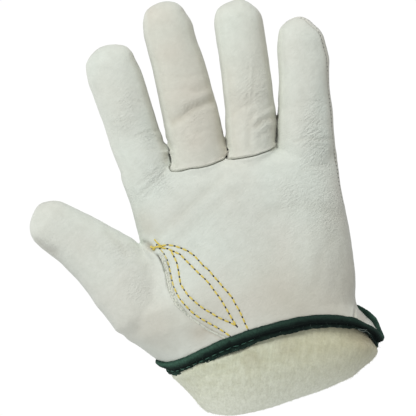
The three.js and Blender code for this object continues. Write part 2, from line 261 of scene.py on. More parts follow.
# a smooth line through places, a Catmull-Rom one, resampled at equal steps
def evenLine(line, step):
    line = np.asarray(line, float)
    ends = np.vstack([2 * line[0] - line[1], line, 2 * line[-1] - line[-2]])
    fine = []
    for a, b, c, d in zip(ends[:-3], ends[1:-2], ends[2:-1], ends[3:]):
        for t in np.linspace(0, 1, fineSteps, endpoint=False):
            fine.append(0.5 * (2 * b + (c - a) * t + (2 * a - 5 * b + 4 * c - d) * t * t
                               + (3 * b - a - 3 * c + d) * t ** 3))
    fine = np.array(fine + [line[-1]])
    run = np.concatenate([[0], np.cumsum(np.linalg.norm(np.diff(fine, axis=0), axis=1))])
    count = max(round(run[-1] / step), 1)
    stops = np.linspace(0, run[-1], count + 1)
    return np.stack([np.interp(stops, run, fine[:, k]) for k in range(fine.shape[1])], 1)


def photoLine(pixels, step=1 * mm):
    return evenLine(fromPhoto(pixels), step)


# how far places are from a line in the photograph, seen from above
def offLine(co, pixels, step=1 * mm):
    return lineDistance(co[:, :2], photoLine(pixels, step))


# 1 at a place in the photograph, fading over a reach in its pixels
def closeTo(co, x, y, reach):
    away = np.linalg.norm(co[:, :2] - fromPhoto([(x, y)])[0], axis=1)
    return hump(away, reach * photo["pixel"])


# unit steps to the left of a flat line, one for each of its places
def sideways(line):
    run = np.gradient(line, axis=0)
    return np.stack([-run[:, 1], run[:, 0]], 1) / np.linalg.norm(run, axis=1)[:, None]


# material helpers
def newMaterial(name, roughness):
    material = bpy.data.materials.new(name)
    material.use_nodes = True
    tree = material.node_tree
    shader = tree.nodes["Principled BSDF"]
    shader.inputs["Roughness"].default_value = roughness
    return material, shader, tree.nodes, tree.links


# the object's own coordinates, for patterns stretched along X after a turn about Z
def objectCoordinates(tree, links, stretch=1, turn=0):
    coordinates = tree.new("ShaderNodeTexCoord")
    mapping = tree.new("ShaderNodeMapping")
    mapping.vector_type = "TEXTURE"
    mapping.inputs["Scale"].default_value = (stretch, 1, 1)
    mapping.inputs["Rotation"].default_value = (0, 0, math.radians(turn))
    links.new(coordinates.outputs["Object"], mapping.inputs["Vector"])
    return mapping.outputs["Vector"]


def noiseTexture(tree, links, vector, scale, detail=3, roughness=0.5):
    texture = tree.new("ShaderNodeTexNoise")
    texture.inputs["Scale"].default_value = scale
    texture.inputs["Detail"].default_value = detail
    texture.inputs["Roughness"].default_value = roughness
    links.new(vector, texture.inputs["Vector"])
    return texture.outputs["Fac"]


def ramp(tree, links, value, low, high, first, last):
    node = tree.new("ShaderNodeValToRGB")
    node.color_ramp.elements[0].position = low
    node.color_ramp.elements[1].position = high
    node.color_ramp.elements[0].color = (*first, 1)
    node.color_ramp.elements[1].color = (*last, 1)
    links.new(value, node.inputs["Fac"])
    return node.outputs["Color"]


def mixColor(tree, links, factor, first, second, blend="MIX"):
    node = tree.new("ShaderNodeMix")
    node.data_type = "RGBA"
    node.blend_type = blend
    for socket, value in ((node.inputs[0], factor), (node.inputs[6], first), (node.inputs[7], second)):
        if isinstance(value, bpy.types.NodeSocket):
            links.new(value, socket)
        elif isinstance(value, tuple):
            socket.default_value = (*value, 1)
        else:
            socket.default_value = value
    return node.outputs[2]


def mathNode(tree, links, operation, first, second=0.0):
    node = tree.new("ShaderNodeMath")
    node.operation = operation
    for socket, value in ((node.inputs[0], first), (node.inputs[1], second)):
        if isinstance(value, bpy.types.NodeSocket):
            links.new(value, socket)
        else:
            socket.default_value = value
    return node.outputs[0]


# from 0 at the low value to 1 at the high value
def rise(tree, links, value, low, high, top=1):
    node = tree.new("ShaderNodeMapRange")
    node.inputs["From Min"].default_value = low
    node.inputs["From Max"].default_value = high
    node.inputs["To Max"].default_value = top
    links.new(value, node.inputs["Value"])
    return node.outputs["Result"]


def axes(tree, links, vector):
    node = tree.new("ShaderNodeSeparateXYZ")
    links.new(vector, node.inputs[0])
    return node.outputs


def attribute(tree, name):
    node = tree.new("ShaderNodeAttribute")
    node.attribute_name = name
    return node.outputs["Fac"]


def bump(tree, links, height, strength, distance, normal=None):
    node = tree.new("ShaderNodeBump")
    node.inputs["Strength"].default_value = strength
    node.inputs["Distance"].default_value = distance
    links.new(height, node.inputs["Height"])
    if normal is not None:
        links.new(normal, node.inputs["Normal"])
    return node.outputs["Normal"]


# a colour as a picture editor shows it, made linear by the usual sRGB curve
def srgb(*values):
    return tuple(((v / 255 + 0.055) / 1.055) ** 2.4 if v > 10 else v / 3295 for v in values)


black = (0, 0, 0)
white = (1, 1, 1)


# Leather: one sheet over the CAD pieces, cut along the seams, then creased and given its wall.
leather = {
    "voxel": 0.65 * mm, "inflate": 0.22 * mm, "trim": 0.8 * mm, "tuck": 0.6 * mm, "level": 0.8,
    "smoothing": 26, "settle": 0.15 * mm, "wall": 1.2 * mm, "snap": 0.08 * mm, "refineReach": 1.9 * mm,
    "sideSeam": 15 * mm, "littleSeamRise": 4 * mm,
    "littleAcross": (48 * mm, 57 * mm), "littleUp": (-12 * mm, 12 * mm),
    "slotFill": 1.9 * mm, "slotStep": 1.5 * mm, "slotSides": 12, "slotSide": 2.4,  # in millimetres
    "keep": {"palm_panel": 0.7, "back_panel": 0.3, "thumb": 0.65},  # share of the faces kept
}
leatherNodes = ["palm_panel", "middle_front", "ring_front", "back_panel", "thumb"]

# Seams: depth and half width of the groove, then the swelling beside it, its place and width.
seams = {
    "base": {"depth": 1.1 * mm, "half": 0.38 * mm, "swell": 0.4 * mm, "at": 1.3 * mm, "wide": 0.9 * mm},
    "side": {"depth": 0.5 * mm, "half": 0.4 * mm, "swell": 0.12 * mm, "at": 1.8 * mm, "wide": 1.1 * mm},
    "thumb": {"depth": 0.9 * mm, "half": 0.9 * mm, "swell": 0.2 * mm, "at": 2.8 * mm, "wide": 1.4 * mm},
}

# How grooves, folds, painted shade and painted light run over the leather: a noise is its scale and seed,
# and a pair of places or slopes is where something starts and where it is full.
relief = {
    "uneven": (260, 3), "puffUneven": 0.8, "palmPuff": 0.3, "lineStep": 1.5 * mm,
    "crotch": (-31 * mm, -27 * mm), "crotchLeast": 0.15, "cuffEnd": (-60 * mm, -48 * mm), "cuffLeast": 0.5,
    "wander": 0.5, "ridge": 0.35, "ridgeAt": 1.9, "pull": 0.2 * mm, "pullHalf": 0.8 * mm, "crinkle": 0.2,
    "broad": 0.22 * mm, "broadNoise": (60, 11), "small": 0.07 * mm, "smallNoise": (190, 23),
    # painted shade: the share of the patches kept on the back panel, and how much right-facing sides are
    # darkened, more on the fingers
    "facing": (0.1, 0.5), "backShade": 0.3, "sideShade": 0.1, "edgeShade": 0.35, "fingersFrom": 24 * mm,
    "sideFacing": (0.5, 0.95), "leftFacing": (0.6, 1),
    # painted light: left-facing sides paler, more towards the right
    "paintedLightAcross": (-60 * mm, -25 * mm, 10 * mm, 45 * mm), "paintedLight": (0.35, 0.45, 0.6, 0.85),
}

# Folds of the palm side: places in the photograph, depth and half width in millimetres, and how dark
# the painted shade along the line in the fold is.
folds = [
    ([(173, 122), (183, 116.5), (192, 109.5), (203, 104), (214, 99.5)], 0.68, 2.5, 0),
    ([(181, 117), (190, 112), (198, 108)], 0.16, 1.4, 0),
    ([(201, 107), (208, 104), (215, 102)], 0.2, 1.3, 0),
    ([(178, 122), (188, 118), (199, 116)], 0.12, 1.2, 0),
    ([(197, 92), (206, 88), (212, 83)], 0.2, 2.2, 0),
    ([(166, 91), (184, 90), (200, 92)], 0.12, 1.4, 0),
    ([(165, 75), (182, 77), (204, 74)], 0.1, 1.6, 0),
    ([(176, 125), (187, 123), (195, 125)], 0.12, 0.9, 0),
    ([(196, 134), (208, 130), (216, 131)], 0.1, 1.1, 0),
    ([(228, 118), (236, 112), (244, 107), (252, 105)], 0.22, 1.3, 0),
    ([(250, 104), (255, 80), (257, 55)], 0.12, 1.6, 0),
    ([(256, 102), (260, 84), (261, 66)], 0.08, 0.9, 0),
    ([(249, 147), (249, 134), (250, 122), (255, 111)], 0.25, 1.5, 0),
    ([(256, 126), (263, 121), (274, 116)], 0.55, 1.7, 0),
    ([(254, 117), (262, 111), (270, 106)], 0.18, 1.5, 0),
    ([(260, 137), (268, 131), (275, 128)], 0.2, 1.4, 0),
    ([(120, 104), (129, 101), (140, 102)], 0.1, 1.1, 0),
    ([(112, 124), (124, 121), (138, 121)], 0.12, 1.2, 0),
    ([(136, 137), (147, 132), (157, 131)], 0.16, 0.9, 0),
    ([(132, 152), (144, 149), (156, 150)], 0.1, 1.0, 0),
    ([(140, 195), (152, 184), (163, 174), (168, 166)], 0.22, 1.1, 0),
    ([(147, 196), (156, 187), (165, 176)], 0.15, 0.8, 0),
    ([(137, 186), (148, 178), (158, 170)], 0.12, 0.9, 0),
    ([(297, 104), (309, 102), (324, 104)], 0.1, 1.4, 0),
    ([(299, 123), (310, 121), (325, 124)], 0.1, 1.3, 0),
    ([(295, 142), (308, 139), (318, 140), (330, 139)], 0.25, 1.1, 0),
    ([(300, 147), (312, 145), (326, 147)], 0.14, 0.9, 0),
    ([(302, 170), (316, 165), (330, 167)], 0.12, 1.5, 0),
    ([(291, 194), (294, 191), (297, 193)], 0.12, 0.5, 0),
    ([(158, 236), (178, 217), (200, 198), (222, 178)], 0.28, 3.0, 0),
    ([(172, 243), (194, 224), (218, 205), (246, 186)], 0.16, 3.0, 0),
    ([(108, 233), (117, 241), (127, 253)], 0.25, 2.2, 0),
    ([(36, 240), (45, 249), (56, 253)], 0.35, 1.8, 0),
    ([(262, 215), (290, 207), (318, 207), (340, 214)], 0.2, 3.4, 0),
    ([(330, 240), (318, 262), (312, 290)], 0.2, 3.4, 0),
    ([(140, 330), (156, 342), (176, 350)], 0.2, 2.6, 0),
    ([(180, 167.6), (190, 166), (203, 164), (213, 161.3), (222, 157.5)], 0.22, 0.4, 0.3),
    ([(233, 155.6), (243, 155), (254, 152.8), (263, 149.8), (271, 146)], 0.22, 0.4, 0.3),
    ([(247, 112), (248, 90), (249, 66)], 0.12, 0.7, 0),
    ([(252, 112), (253, 92), (254, 70)], 0.1, 0.6, 0),
    ([(158.2, 254.5), (160.5, 258), (163, 263), (165, 271)], 0.4, 0.5, 1.0),
    ([(163, 263), (165, 271), (166.5, 279), (169.3, 290), (175, 300.5)], 0.4, 0.35, 0.7),
    ([(153, 249), (149.5, 246), (145, 243)], 0.9, 1.7, 0),
    ([(355.5, 303), (354.5, 310), (353.5, 318)], 0.5, 0.6, 0.6),
    ([(352, 262), (354, 280), (354.6, 300)], 0.3, 0.5, 0.5),
    ([(276.2, 113), (276.2, 127), (275.2, 140)], 0.5, 1.3, 0.8),
    ([(219.5, 118), (223.2, 133), (227, 150)], 0.3, 1.0, 0.8),
]

# Where the leather is finely crinkled: x and y in the photograph, reach in its pixels and strength.
crinkles = [
    (315, 104, 11, 0.4), (309, 122, 13, 0.6), (314, 139, 15, 0.8), (316, 160, 17, 0.5),
    (330, 205, 24, 0.5), (290, 195, 14, 0.4), (158, 178, 14, 0.8), (135, 196, 12, 0.4),
    (126, 103, 10, 0.4), (122, 124, 12, 0.4), (148, 136, 10, 0.6), (192, 112, 12, 0.5),
    (182, 140, 12, 0.3), (252, 90, 22, 0.4), (264, 126, 12, 0.5), (142, 290, 16, 0.4),
    (120, 250, 14, 0.4), (48, 250, 12, 0.6),
]

# Where shade is painted into the leather, a little darker, in the same way.
shadePatches = [
    (350, 268, 28, 0.24), (275, 292, 42, 0.36), (340, 306, 26, 0.3), (363, 317, 6, 0.5),
    (300, 306, 26, 0.2), (205, 314, 26, 0.3), (200, 332, 9, 0.3), (142, 221, 13, 0.25),
    (206, 328, 2.8, 0.35), (211, 330.5, 2.8, 0.4), (216, 333, 2.8, 0.4), (221, 335.5, 2.8, 0.4),
    (335, 225, 26, 0.16), (150, 230, 9, 0.2), (149, 246, 4, 0.5), (158, 326, 28, 0.28),
]

# Seam lines and thread places as they lie in the photograph.
stitchLines = {
    "outer": [(160.7, 245.7), (169, 244.7), (177, 246.4), (183, 248.6), (190, 252), (196, 257), (203, 265),
              (209, 270), (213, 275), (218, 280.5), (222.5, 286), (227, 291), (232, 297), (235, 303),
              (239, 309.5), (242, 316), (245, 323), (248, 329)],
    "leafRight": [(160.7, 247.5), (166, 248), (171, 250), (180, 254), (184, 258), (189, 263), (194, 268),
                  (199, 273), (205, 278.5), (210, 284), (215, 291), (220, 297.5), (224, 304), (228, 311),
                  (232, 318), (236, 324.5)],
    "leafLeft": [(171, 250), (174, 256), (176.5, 261), (178, 266), (179, 273), (180, 278.5), (181, 284),
                 (185, 290), (189, 295.5), (194, 300), (200, 305), (205.5, 309), (212, 312.5),
                 (217.5, 316), (224, 319), (231, 322), (236, 324.6)],
    "besideWelt": [(160, 248.5), (163, 252), (166.5, 257), (169, 265), (171, 273), (173, 283), (176, 290.5),
                   (180, 298), (186, 305), (193, 312), (200, 317), (209, 322), (218, 327), (226, 332),
                   (230, 335)],
}
weltLine = [(159.5, 253.5), (163.2, 258.5), (166, 266), (168.6, 277), (171, 288), (174, 297), (178, 304),
            (189, 315), (200, 323), (209, 329), (217, 333), (228, 338.5)]
slotLine = [(146, 246), (153, 251.5), (158.4, 255.5), (164, 266), (168, 278), (172, 292.6), (178, 303),
            (190, 315.5), (205, 326), (219, 333.5), (228, 337), (243, 344)]
littleSeamLine = [(301, 18), (311, 22), (318, 31), (323, 45), (326, 59), (328, 75), (329, 96), (331, 114),
                  (332, 133), (334, 151), (337, 169), (340, 190), (343, 205)]


# closes the open seam under the welt, flush with the leather beside it
def fillSlot(bm):
    face = BVHTree.FromBMesh(bm)
    line = photoLine(slotLine, leather["slotStep"])
    spots = []
    height = 0
    for spot, step in zip(line, sideways(line) * leather["slotSide"] * mm):
        beside = onFace(face, [spot - step, spot + step])
        beside = [hit.z for hit, _ in beside if hit.z > leather["sideSeam"]]
        if beside:
            height = sum(beside) / len(beside)
        spots.append((*spot, height - leather["slotFill"]))
    strand(bm, spots, [leather["slotFill"]] * len(spots), leather["slotSides"])


# Gaps between the fingers from the crotch up: how they lie in the CAD, then in the photograph. The
# first part of each, where the fingers touch, is a slit. Then the seams at the feet of two fingers.
cadGaps = {
    "indexMiddle": [(168.3, 154), (167.3, 149), (164.9, 140), (162, 129), (158, 113), (153.5, 96),
                    (149, 80), (144.5, 64), (138, 45), (132, 20), (128, 0)],
    "middleRing": [(226.1, 156), (225.4, 150), (224.2, 140), (222.3, 123), (219, 100), (215.5, 80),
                   (212.5, 64), (207, 40), (202, 20), (200, 0)],
    "ringLittle": [(277, 148), (276.8, 129), (276.9, 118), (276.1, 100), (274, 80), (273, 64),
                   (272, 48), (270, 30), (268, 10), (268, 0)],
}
fingerGaps = {
    "indexMiddle": [(171, 162), (169.8, 155), (169.5, 150.5), (166, 141), (161.5, 128), (157, 112),
                    (153.5, 96), (149, 80), (144.5, 64), (138, 45), (132, 20), (128, 0)],
    "middleRing": [(228.6, 152.5), (227, 147), (226, 140), (223, 123), (219.5, 108), (218, 96),
                   (215.5, 80), (212.5, 64), (207, 40), (202, 20), (200, 0)],
    "ringLittle": [(275.8, 141), (276.5, 130), (277, 116), (277, 112), (276, 96), (274, 80), (273, 64),
                   (272, 48), (270, 30), (268, 10), (268, 0)],
}
fingerSeam = {
    "middle_front": [(169.6, 166.7), (170.4, 169.8), (172.5, 171.2), (176.7, 171.4), (183.3, 170.4),
                     (190.8, 168.8), (198.3, 168.2), (206.7, 166.5), (213.3, 164.3), (219.2, 161.5),
                     (224.2, 159)],
    "ring_front": [(226.7, 158.3), (232.5, 159.2), (238.3, 158.8), (246.7, 157.5), (255, 155.8),
                   (262.5, 153.3), (269.2, 150.8), (273.3, 148.3), (275.4, 145.8)],
}
openedGap = {"name": "indexMiddle", "from": 30 * mm, "lowFade": 2 * mm, "to": 40 * mm, "highFade": 4 * mm,
             "amount": 0.9}  # left wider
gapRoom = {"push": 1.2 * mm, "reach": 2.6 * mm, "crotch": (-1 * mm, 1.5 * mm), "slit": 0.5 * mm,
           "slitDepth": 3 * mm, "slitPlaces": 3}

# Small moves of the outlines onto the photograph's: x and y, the move right and down, and its reach, all
# in pixels.
nudges = [
    (89, 62, -1.8, -0.6, 11), (137, 60, -1.4, 0.6, 9), (148, 12, -1.0, -0.6, 7),
    (187, 13, -1.6, 1.2, 9), (197, 38, -1.3, 0, 12), (218, 9, -1.0, -1.0, 8), (212, 32, 1.0, 0, 9),
    (254, 5, 0, 0.8, 6), (278, 28, -1.2, -0.6, 8), (315, 22, -1.6, 1.4, 9), (329, 58, 1.4, 0, 10),
    (333, 110, 1.0, 0, 16), (336, 145, 1.2, 0, 14), (352, 240, -0.4, 0, 14), (357, 298, -1.5, 0, 11),
    (39, 206, -1.4, -1.8, 9), (90, 216, 0.4, 1.0, 16), (112, 227, 0.4, 1.0, 10),
    (133, 240, 0.8, -2.0, 8), (118, 170, 1.0, 0, 14), (78, 278, -0.8, 0.6, 18),
    (97, 304, -0.9, 0.9, 10), (128, 337, -1.6, 1.6, 9), (168.5, 150, 2.0, 0, 7), (226, 150, 2.0, 0, 8),
    (224, 132, 0.8, 0, 6), (52, 200, 0, -1.0, 12), (100, 47, -0.6, -1.0, 11), (126, 46, 0.5, -0.9, 9),
    (85, 72, -0.9, 0, 8), (240, 0, 0, -0.9, 12), (219, 110, 1.3, 0, 14), (271, 75, 0.9, 0, 18),
    (276, 108, 0.8, 0, 8), (338, 172, 0.7, 0, 12), (364, 310, -1.3, 1.0, 7), (370, 316, -1.3, 1.0, 7),
    (376, 322, -1.3, 1.0, 7), (381, 329, -1.3, 1.0, 7),
]
bindingNudges = [
    (195, 352, -0.2, -0.8, 14), (222, 339, -0.3, -0.9, 14), (250, 328, -0.2, -0.8, 16),
    (278, 321, 0, -0.7, 16), (306, 315, 0, -1.0, 16), (334, 314, 0, -1.1, 15), (353, 318, 0, -1.4, 7),
    (384, 330, -0.8, 1.4, 6), (383, 343, 0.6, 1.6, 7),
]
pileNudges = [
    (300, 396, -0.8, -3.2, 30), (188, 396, 1.2, -0.5, 14), (228, 418, 0, 1.4, 14),
    (352, 376, 1.2, 1.2, 11),
]


# signed distance to a closed outline, above zero inside
def insideDistance(points, outline):
    distance = lineDistance(points, outline)
    inside = np.zeros(len(points), bool)
    for (ax, ay), (bx, by) in zip(outline[:-1], outline[1:]):
        if ay != by:
            crosses = (points[:, 1] > ay) != (points[:, 1] > by)
            inside ^= crosses & (points[:, 0] < (bx - ax) * (points[:, 1] - ay) / (by - ay) + ax)
    return np.where(inside, distance, -distance)


def fingerOutline(name, left, right):
    line = fingerGaps[left][::-1] + fingerSeam[name] + fingerGaps[right]
    line = photoLine(line)
    return np.vstack([line, line[:1]])


# moves the sides of each narrow gap apart by a share of the push, so that the remesh leaves it open
def widenGaps(bm, share):
    co = places(bm)
    for name, gap in cadGaps.items():
        line = photoLine(gap)
        tree = treeOf([Vector((*spot, 0)) for spot in line])
        nearest = np.array([tree.find((x, y, 0))[0][:2] for x, y, _ in co])
        away = co[:, :2] - nearest
        distance = np.maximum(np.linalg.norm(away, axis=1), 1e-9)
        strength = hump(distance, gapRoom["reach"])
        low, high = gapRoom["crotch"]
        strength *= smoothStep(line[0, 1] + low, line[0, 1] + high, co[:, 1])
        if name == openedGap["name"] and share < 0:
            here = smoothStep(openedGap["from"], openedGap["from"] + openedGap["lowFade"], co[:, 1])
            here *= smoothStep(openedGap["to"], openedGap["to"] - openedGap["highFade"], co[:, 1])
            strength *= 1 - openedGap["amount"] * here
        co[:, :2] += away / distance[:, None] * (gapRoom["push"] * share * strength)[:, None]
    setPlaces(bm, co)


def nudge(bm, rows):
    co = places(bm)
    move = np.zeros((len(co), 2))
    for x, y, right, down, reach in rows:
        strength = closeTo(co, x, y, reach)
        move += strength[:, None] * np.array((right, down)) * (photo["pixel"], -photo["pixel"])
    co[:, :2] += move
    setPlaces(bm, co)


# the outer face of all the leather in one smooth open sheet that ends at the binding
def leatherSheet():
    bm = copyNodes(*leatherNodes)
    setPlaces(bm, places(bm) + normals(bm) * leather["inflate"])
    fillSlot(bm)
    widenGaps(bm, 1)
    bm = remeshed(bm, leather["voxel"])
    binding = BVHTree.FromBMesh(copyNodes("cuff_binding"))
    near = [v for v in bm.verts if binding.find_nearest(v.co, leather["trim"])[0]]
    bmesh.ops.delete(bm, geom=near, context="VERTS")
    bmesh.ops.delete(bm, geom=[v for v in bm.verts if not v.link_faces], context="VERTS")
    keepLongest(bm)
    relax(bm, leather["smoothing"])
    setPlaces(bm, places(bm) - normals(bm) * leather["settle"])
    widenGaps(bm, -1)
    nudge(bm, nudges)
    bm.normal_update()
    for v in bm.verts:
        if v.is_boundary:  # level into the binding
            way = binding.find_nearest(v.co)[0] - v.co
            reach = way.length + leather["tuck"]
            way -= v.normal * way.dot(v.normal) * leather["level"]
            v.co += way.normalized() * reach
    print("leather sheet", len(bm.verts))
    return bm


def nodeDistances(co, name):
    tree = BVHTree.FromBMesh(copyNodes(name))
    return np.array([tree.find_nearest(p)[3] for p in co])


# what each place belongs to: above zero inside the piece
def seamFields(co):
    distance = {name: nodeDistances(co, name) for name in ("palm_panel", "back_panel", "thumb")}
    little = smoothStep(*leather["littleAcross"], co[:, 0]) * smoothStep(*leather["littleUp"], co[:, 1])
    palmSide = co[:, 2] - leather["sideSeam"] - leather["littleSeamRise"] * little
    hand = np.minimum(distance["palm_panel"], distance["back_panel"])
    middle = fingerOutline("middle_front", "indexMiddle", "middleRing")
    ring = fingerOutline("ring_front", "middleRing", "ringLittle")
    return {
        "thumb": hand - distance["thumb"],
        "palmSide": palmSide,
        "middle_front": insideDistance(co[:, :2], middle),
        "ring_front": insideDistance(co[:, :2], ring),
    }


# new edges where a field passes zero, in the part where another field is above its limit
def cutAlong(bm, layers, name, within=None):
    layer = layers[name]
    allowed = set(bm.verts)
    if within is not None:
        allowed = {v for v in bm.verts if v[layers[within[0]]] * within[1] > -leather["snap"]}
    onLine = [v for v in allowed if abs(v[layer]) < leather["snap"]]
    for edge in list(bm.edges):
        a, b = edge.verts
        first, second = a[layer], b[layer]
        if first * second >= 0 or min(abs(first), abs(second)) < leather["snap"]:
            continue
        if a not in allowed or b not in allowed:
            continue
        part = first / (first - second)
        _, made = bmesh.utils.edge_split(edge, a, part)
        for other in layers.values():
            made[other] = a[other] * (1 - part) + b[other] * part
        onLine.append(made)
    bmesh.ops.connect_verts(bm, verts=onLine)


def pieceOf(face, layers):
    value = {name: sum(v[layer] for v in face.verts) for name, layer in layers.items()}
    if value["thumb"] > 0:
        return "thumb"
    if value["palmSide"] < 0:
        return "back_panel"
    if value["middle_front"] > 0:
        return "middle_front"
    return "ring_front" if value["ring_front"] > 0 else "palm_panel"


def seamKind(first, second):
    if "thumb" in (first, second):
        return "thumb"
    return "side" if "back_panel" in (first, second) else "base"


def cutSheet(bm):
    layers = setLayers(bm, seamFields(places(bm)))
    cutAlong(bm, layers, "thumb")
    cutAlong(bm, layers, "palmSide", ("thumb", -1))
    cutAlong(bm, layers, "middle_front", ("palmSide", 1))
    cutAlong(bm, layers, "ring_front", ("palmSide", 1))
    pieceLayer = bm.faces.layers.int.new("piece")
    for face in bm.faces:
        face[pieceLayer] = leatherNodes.index(pieceOf(face, layers))
    return pieceLayer


# seam vertices of each kind
def seamVertices(bm, pieceLayer):
    found = {kind: set() for kind in seams}
    for edge in bm.edges:
        owners = {face[pieceLayer] for face in edge.link_faces}
        if len(owners) == 2:
            kind = seamKind(*(leatherNodes[k] for k in owners))
            found[kind].update(edge.verts)
    return found


def treeOf(points):
    tree = KDTree(len(points))
    for k, point in enumerate(points):
        tree.insert(point, k)
    tree.balance()
    return tree


def refineSeams(bm, pieceLayer):
    found = seamVertices(bm, pieceLayer)
    tree = treeOf([v.co for kind in found.values() for v in kind])
    near = {v for v in bm.verts if tree.find(v.co)[2] < leather["refineReach"]}
    edges = [e for e in bm.edges if e.verts[0] in near and e.verts[1] in near]
    bmesh.ops.subdivide_edges(bm, edges=edges, cuts=1, use_grid_fill=True)


# soft patches added up: each row has a place and a reach in the photograph's pixels, and a strength
def patches(co, rows):
    total = np.zeros(len(co))
    for x, y, reach, amount in rows:
        total += amount * closeTo(co, x, y, reach)
    return total


# grooves, folds and small unevenness, with attributes that the material reads, painted shade and light
# among them
def shapeLeather(bm, pieceLayer):
    found = seamVertices(bm, pieceLayer)
    co = places(bm)
    off = normals(bm)
    shift = np.zeros(len(co))
    # how much painted shade darkens the seams' grooves, the fold lines and the slits
    shadeInGrooves = np.zeros(len(co))
    uneven = noiseAt(co, *relief["uneven"])
    owner = np.array([v.link_faces[0][pieceLayer] if v.link_faces else 0 for v in bm.verts])
    for kind, seam in seams.items():
        tree = treeOf([v.co for v in found[kind]])
        distance = np.array([tree.find(p)[2] for p in co])
        puff = hump(distance - seam["at"], seam["wide"]) * (1 + relief["puffUneven"] * uneven)
        if kind == "base":
            puff *= np.where(owner == leatherNodes.index("palm_panel"), relief["palmPuff"], 1.0)
        strength = np.ones(len(co))
        if kind == "thumb":  # soft at the crotch and shallow near the cuff
            strength *= atLeast(relief["crotchLeast"], smoothStep(*relief["crotch"], co[:, 0]))
            strength *= atLeast(relief["cuffLeast"], smoothStep(*relief["cuffEnd"], co[:, 1]))
        valley = hump(distance, seam["half"]) * strength
        shift += seam["swell"] * puff * strength - seam["depth"] * valley
        shadeInGrooves = np.maximum(shadeInGrooves, valley)
    facing = smoothStep(*relief["facing"], off[:, 2])
    # how much painted shade darkens each fold
    crease = np.zeros(len(co))
    for line, depth, half, paintedShade in folds:
        wander = offLine(co, line, relief["lineStep"]) / mm + relief["wander"] * uneven
        valley = hump(wander, half)
        ridge = hump(wander - relief["ridgeAt"] * half, half)
        shift += (relief["ridge"] * ridge - valley) * depth * mm * facing
        crease = np.maximum(crease, valley * min(depth, 1) * facing)
        shadeInGrooves = np.maximum(shadeInGrooves, valley * paintedShade)
    sink = np.zeros(len(co))
    for gap in fingerGaps.values():  # where two fingers touch: sunk, with painted shade in the slit
        slit = hump(offLine(co, gap[:gapRoom["slitPlaces"]]), gapRoom["slit"])
        sink = np.maximum(sink, slit * (co[:, 2] > leather["sideSeam"]))
    shadeInGrooves = np.maximum(shadeInGrooves, sink)
    for line in stitchLines.values():
        shift -= relief["pull"] * hump(offLine(co, line, relief["lineStep"]), relief["pullHalf"]) * facing
    broad = relief["broad"] * noiseAt(co, *relief["broadNoise"])
    shift += broad + relief["small"] * noiseAt(co, *relief["smallNoise"])
    crinkle = relief["crinkle"] + patches(co, crinkles) * facing
    co[:, 2] -= gapRoom["slitDepth"] * sink
    setPlaces(bm, onGround(co + off * shift[:, None]))
    onBack = owner == leatherNodes.index("back_panel")
    # painted shade: the soft patches, less on the back panel, and the right-facing sides
    tone = patches(co, shadePatches) * np.where(onBack, relief["backShade"], 1.0)
    edge = np.where(co[:, 1] > relief["fingersFrom"], relief["edgeShade"], relief["sideShade"])
    tone += edge * smoothStep(*relief["sideFacing"], off[:, 0])
    # painted light: paler on left-facing sides
    paintedLight = np.interp(co[:, 0], relief["paintedLightAcross"], relief["paintedLight"])
    paintedLight *= smoothStep(*relief["leftFacing"], -off[:, 0])
    setLayers(bm, {"seam": shadeInGrooves, "crease": crease, "crinkle": crinkle, "tone": tone, "paintedLight": paintedLight})


leatherTint = {
    "palm_panel": {"base": srgb(217, 225, 217), "warm": srgb(215, 217, 208)},
    "middle_front": {"base": srgb(215, 221, 211), "warm": srgb(210, 207, 195)},
    "ring_front": {"base": srgb(217, 224, 215), "warm": srgb(212, 212, 201)},
    "back_panel": {"base": srgb(218, 224, 216), "warm": srgb(215, 215, 206)},
    "thumb": {"base": srgb(217, 224, 216), "warm": srgb(214, 215, 206)},
}
# Its other colours, painted shade and painted light among them, and its grain: a noise is its scale,
# detail and roughness, a bump its strength and height.
leatherLook = {
    "roughness": 0.62, "specular": 0.32, "sheen": 0.3, "sheenRoughness": 0.5,
    "shadedColor": srgb(178, 169, 150),  # painted shade: darker on right-facing sides and in soft patches
    "paintedLightColor": srgb(244, 250, 240),  # painted light: where it is palest, on left-facing sides
    "broad": (22, 2), "broadRange": (0.35, 0.75), "mottle": (240, 4, 0.6),
    "speckle": (0.25, 0.75, (0.93, 0.93, 0.92), (1.03, 1.03, 1.03)),
    # painted shade in the folds: its share and colour
    "creaseShade": 0.35, "creaseShadeColor": srgb(168, 160, 138),
    # painted shade in the seams' grooves, the slits and the fold lines
    "groove": 0.75, "groovePower": 3.0, "grooveShadeColor": srgb(92, 86, 74),
    "grain": 780, "grainBump": (0.35, 0.14 * mm), "fine": (1500, 3, 0.6), "fineBump": (0.35, 0.1 * mm),
    "soft": (330, 3, 0.55), "softBump": (0.4, 0.35 * mm),
    "lines": (900, 4, 0.6), "linesBump": (0.9, 1.5 * mm), "linesStretch": 2.2, "linesTurn": 40,
}


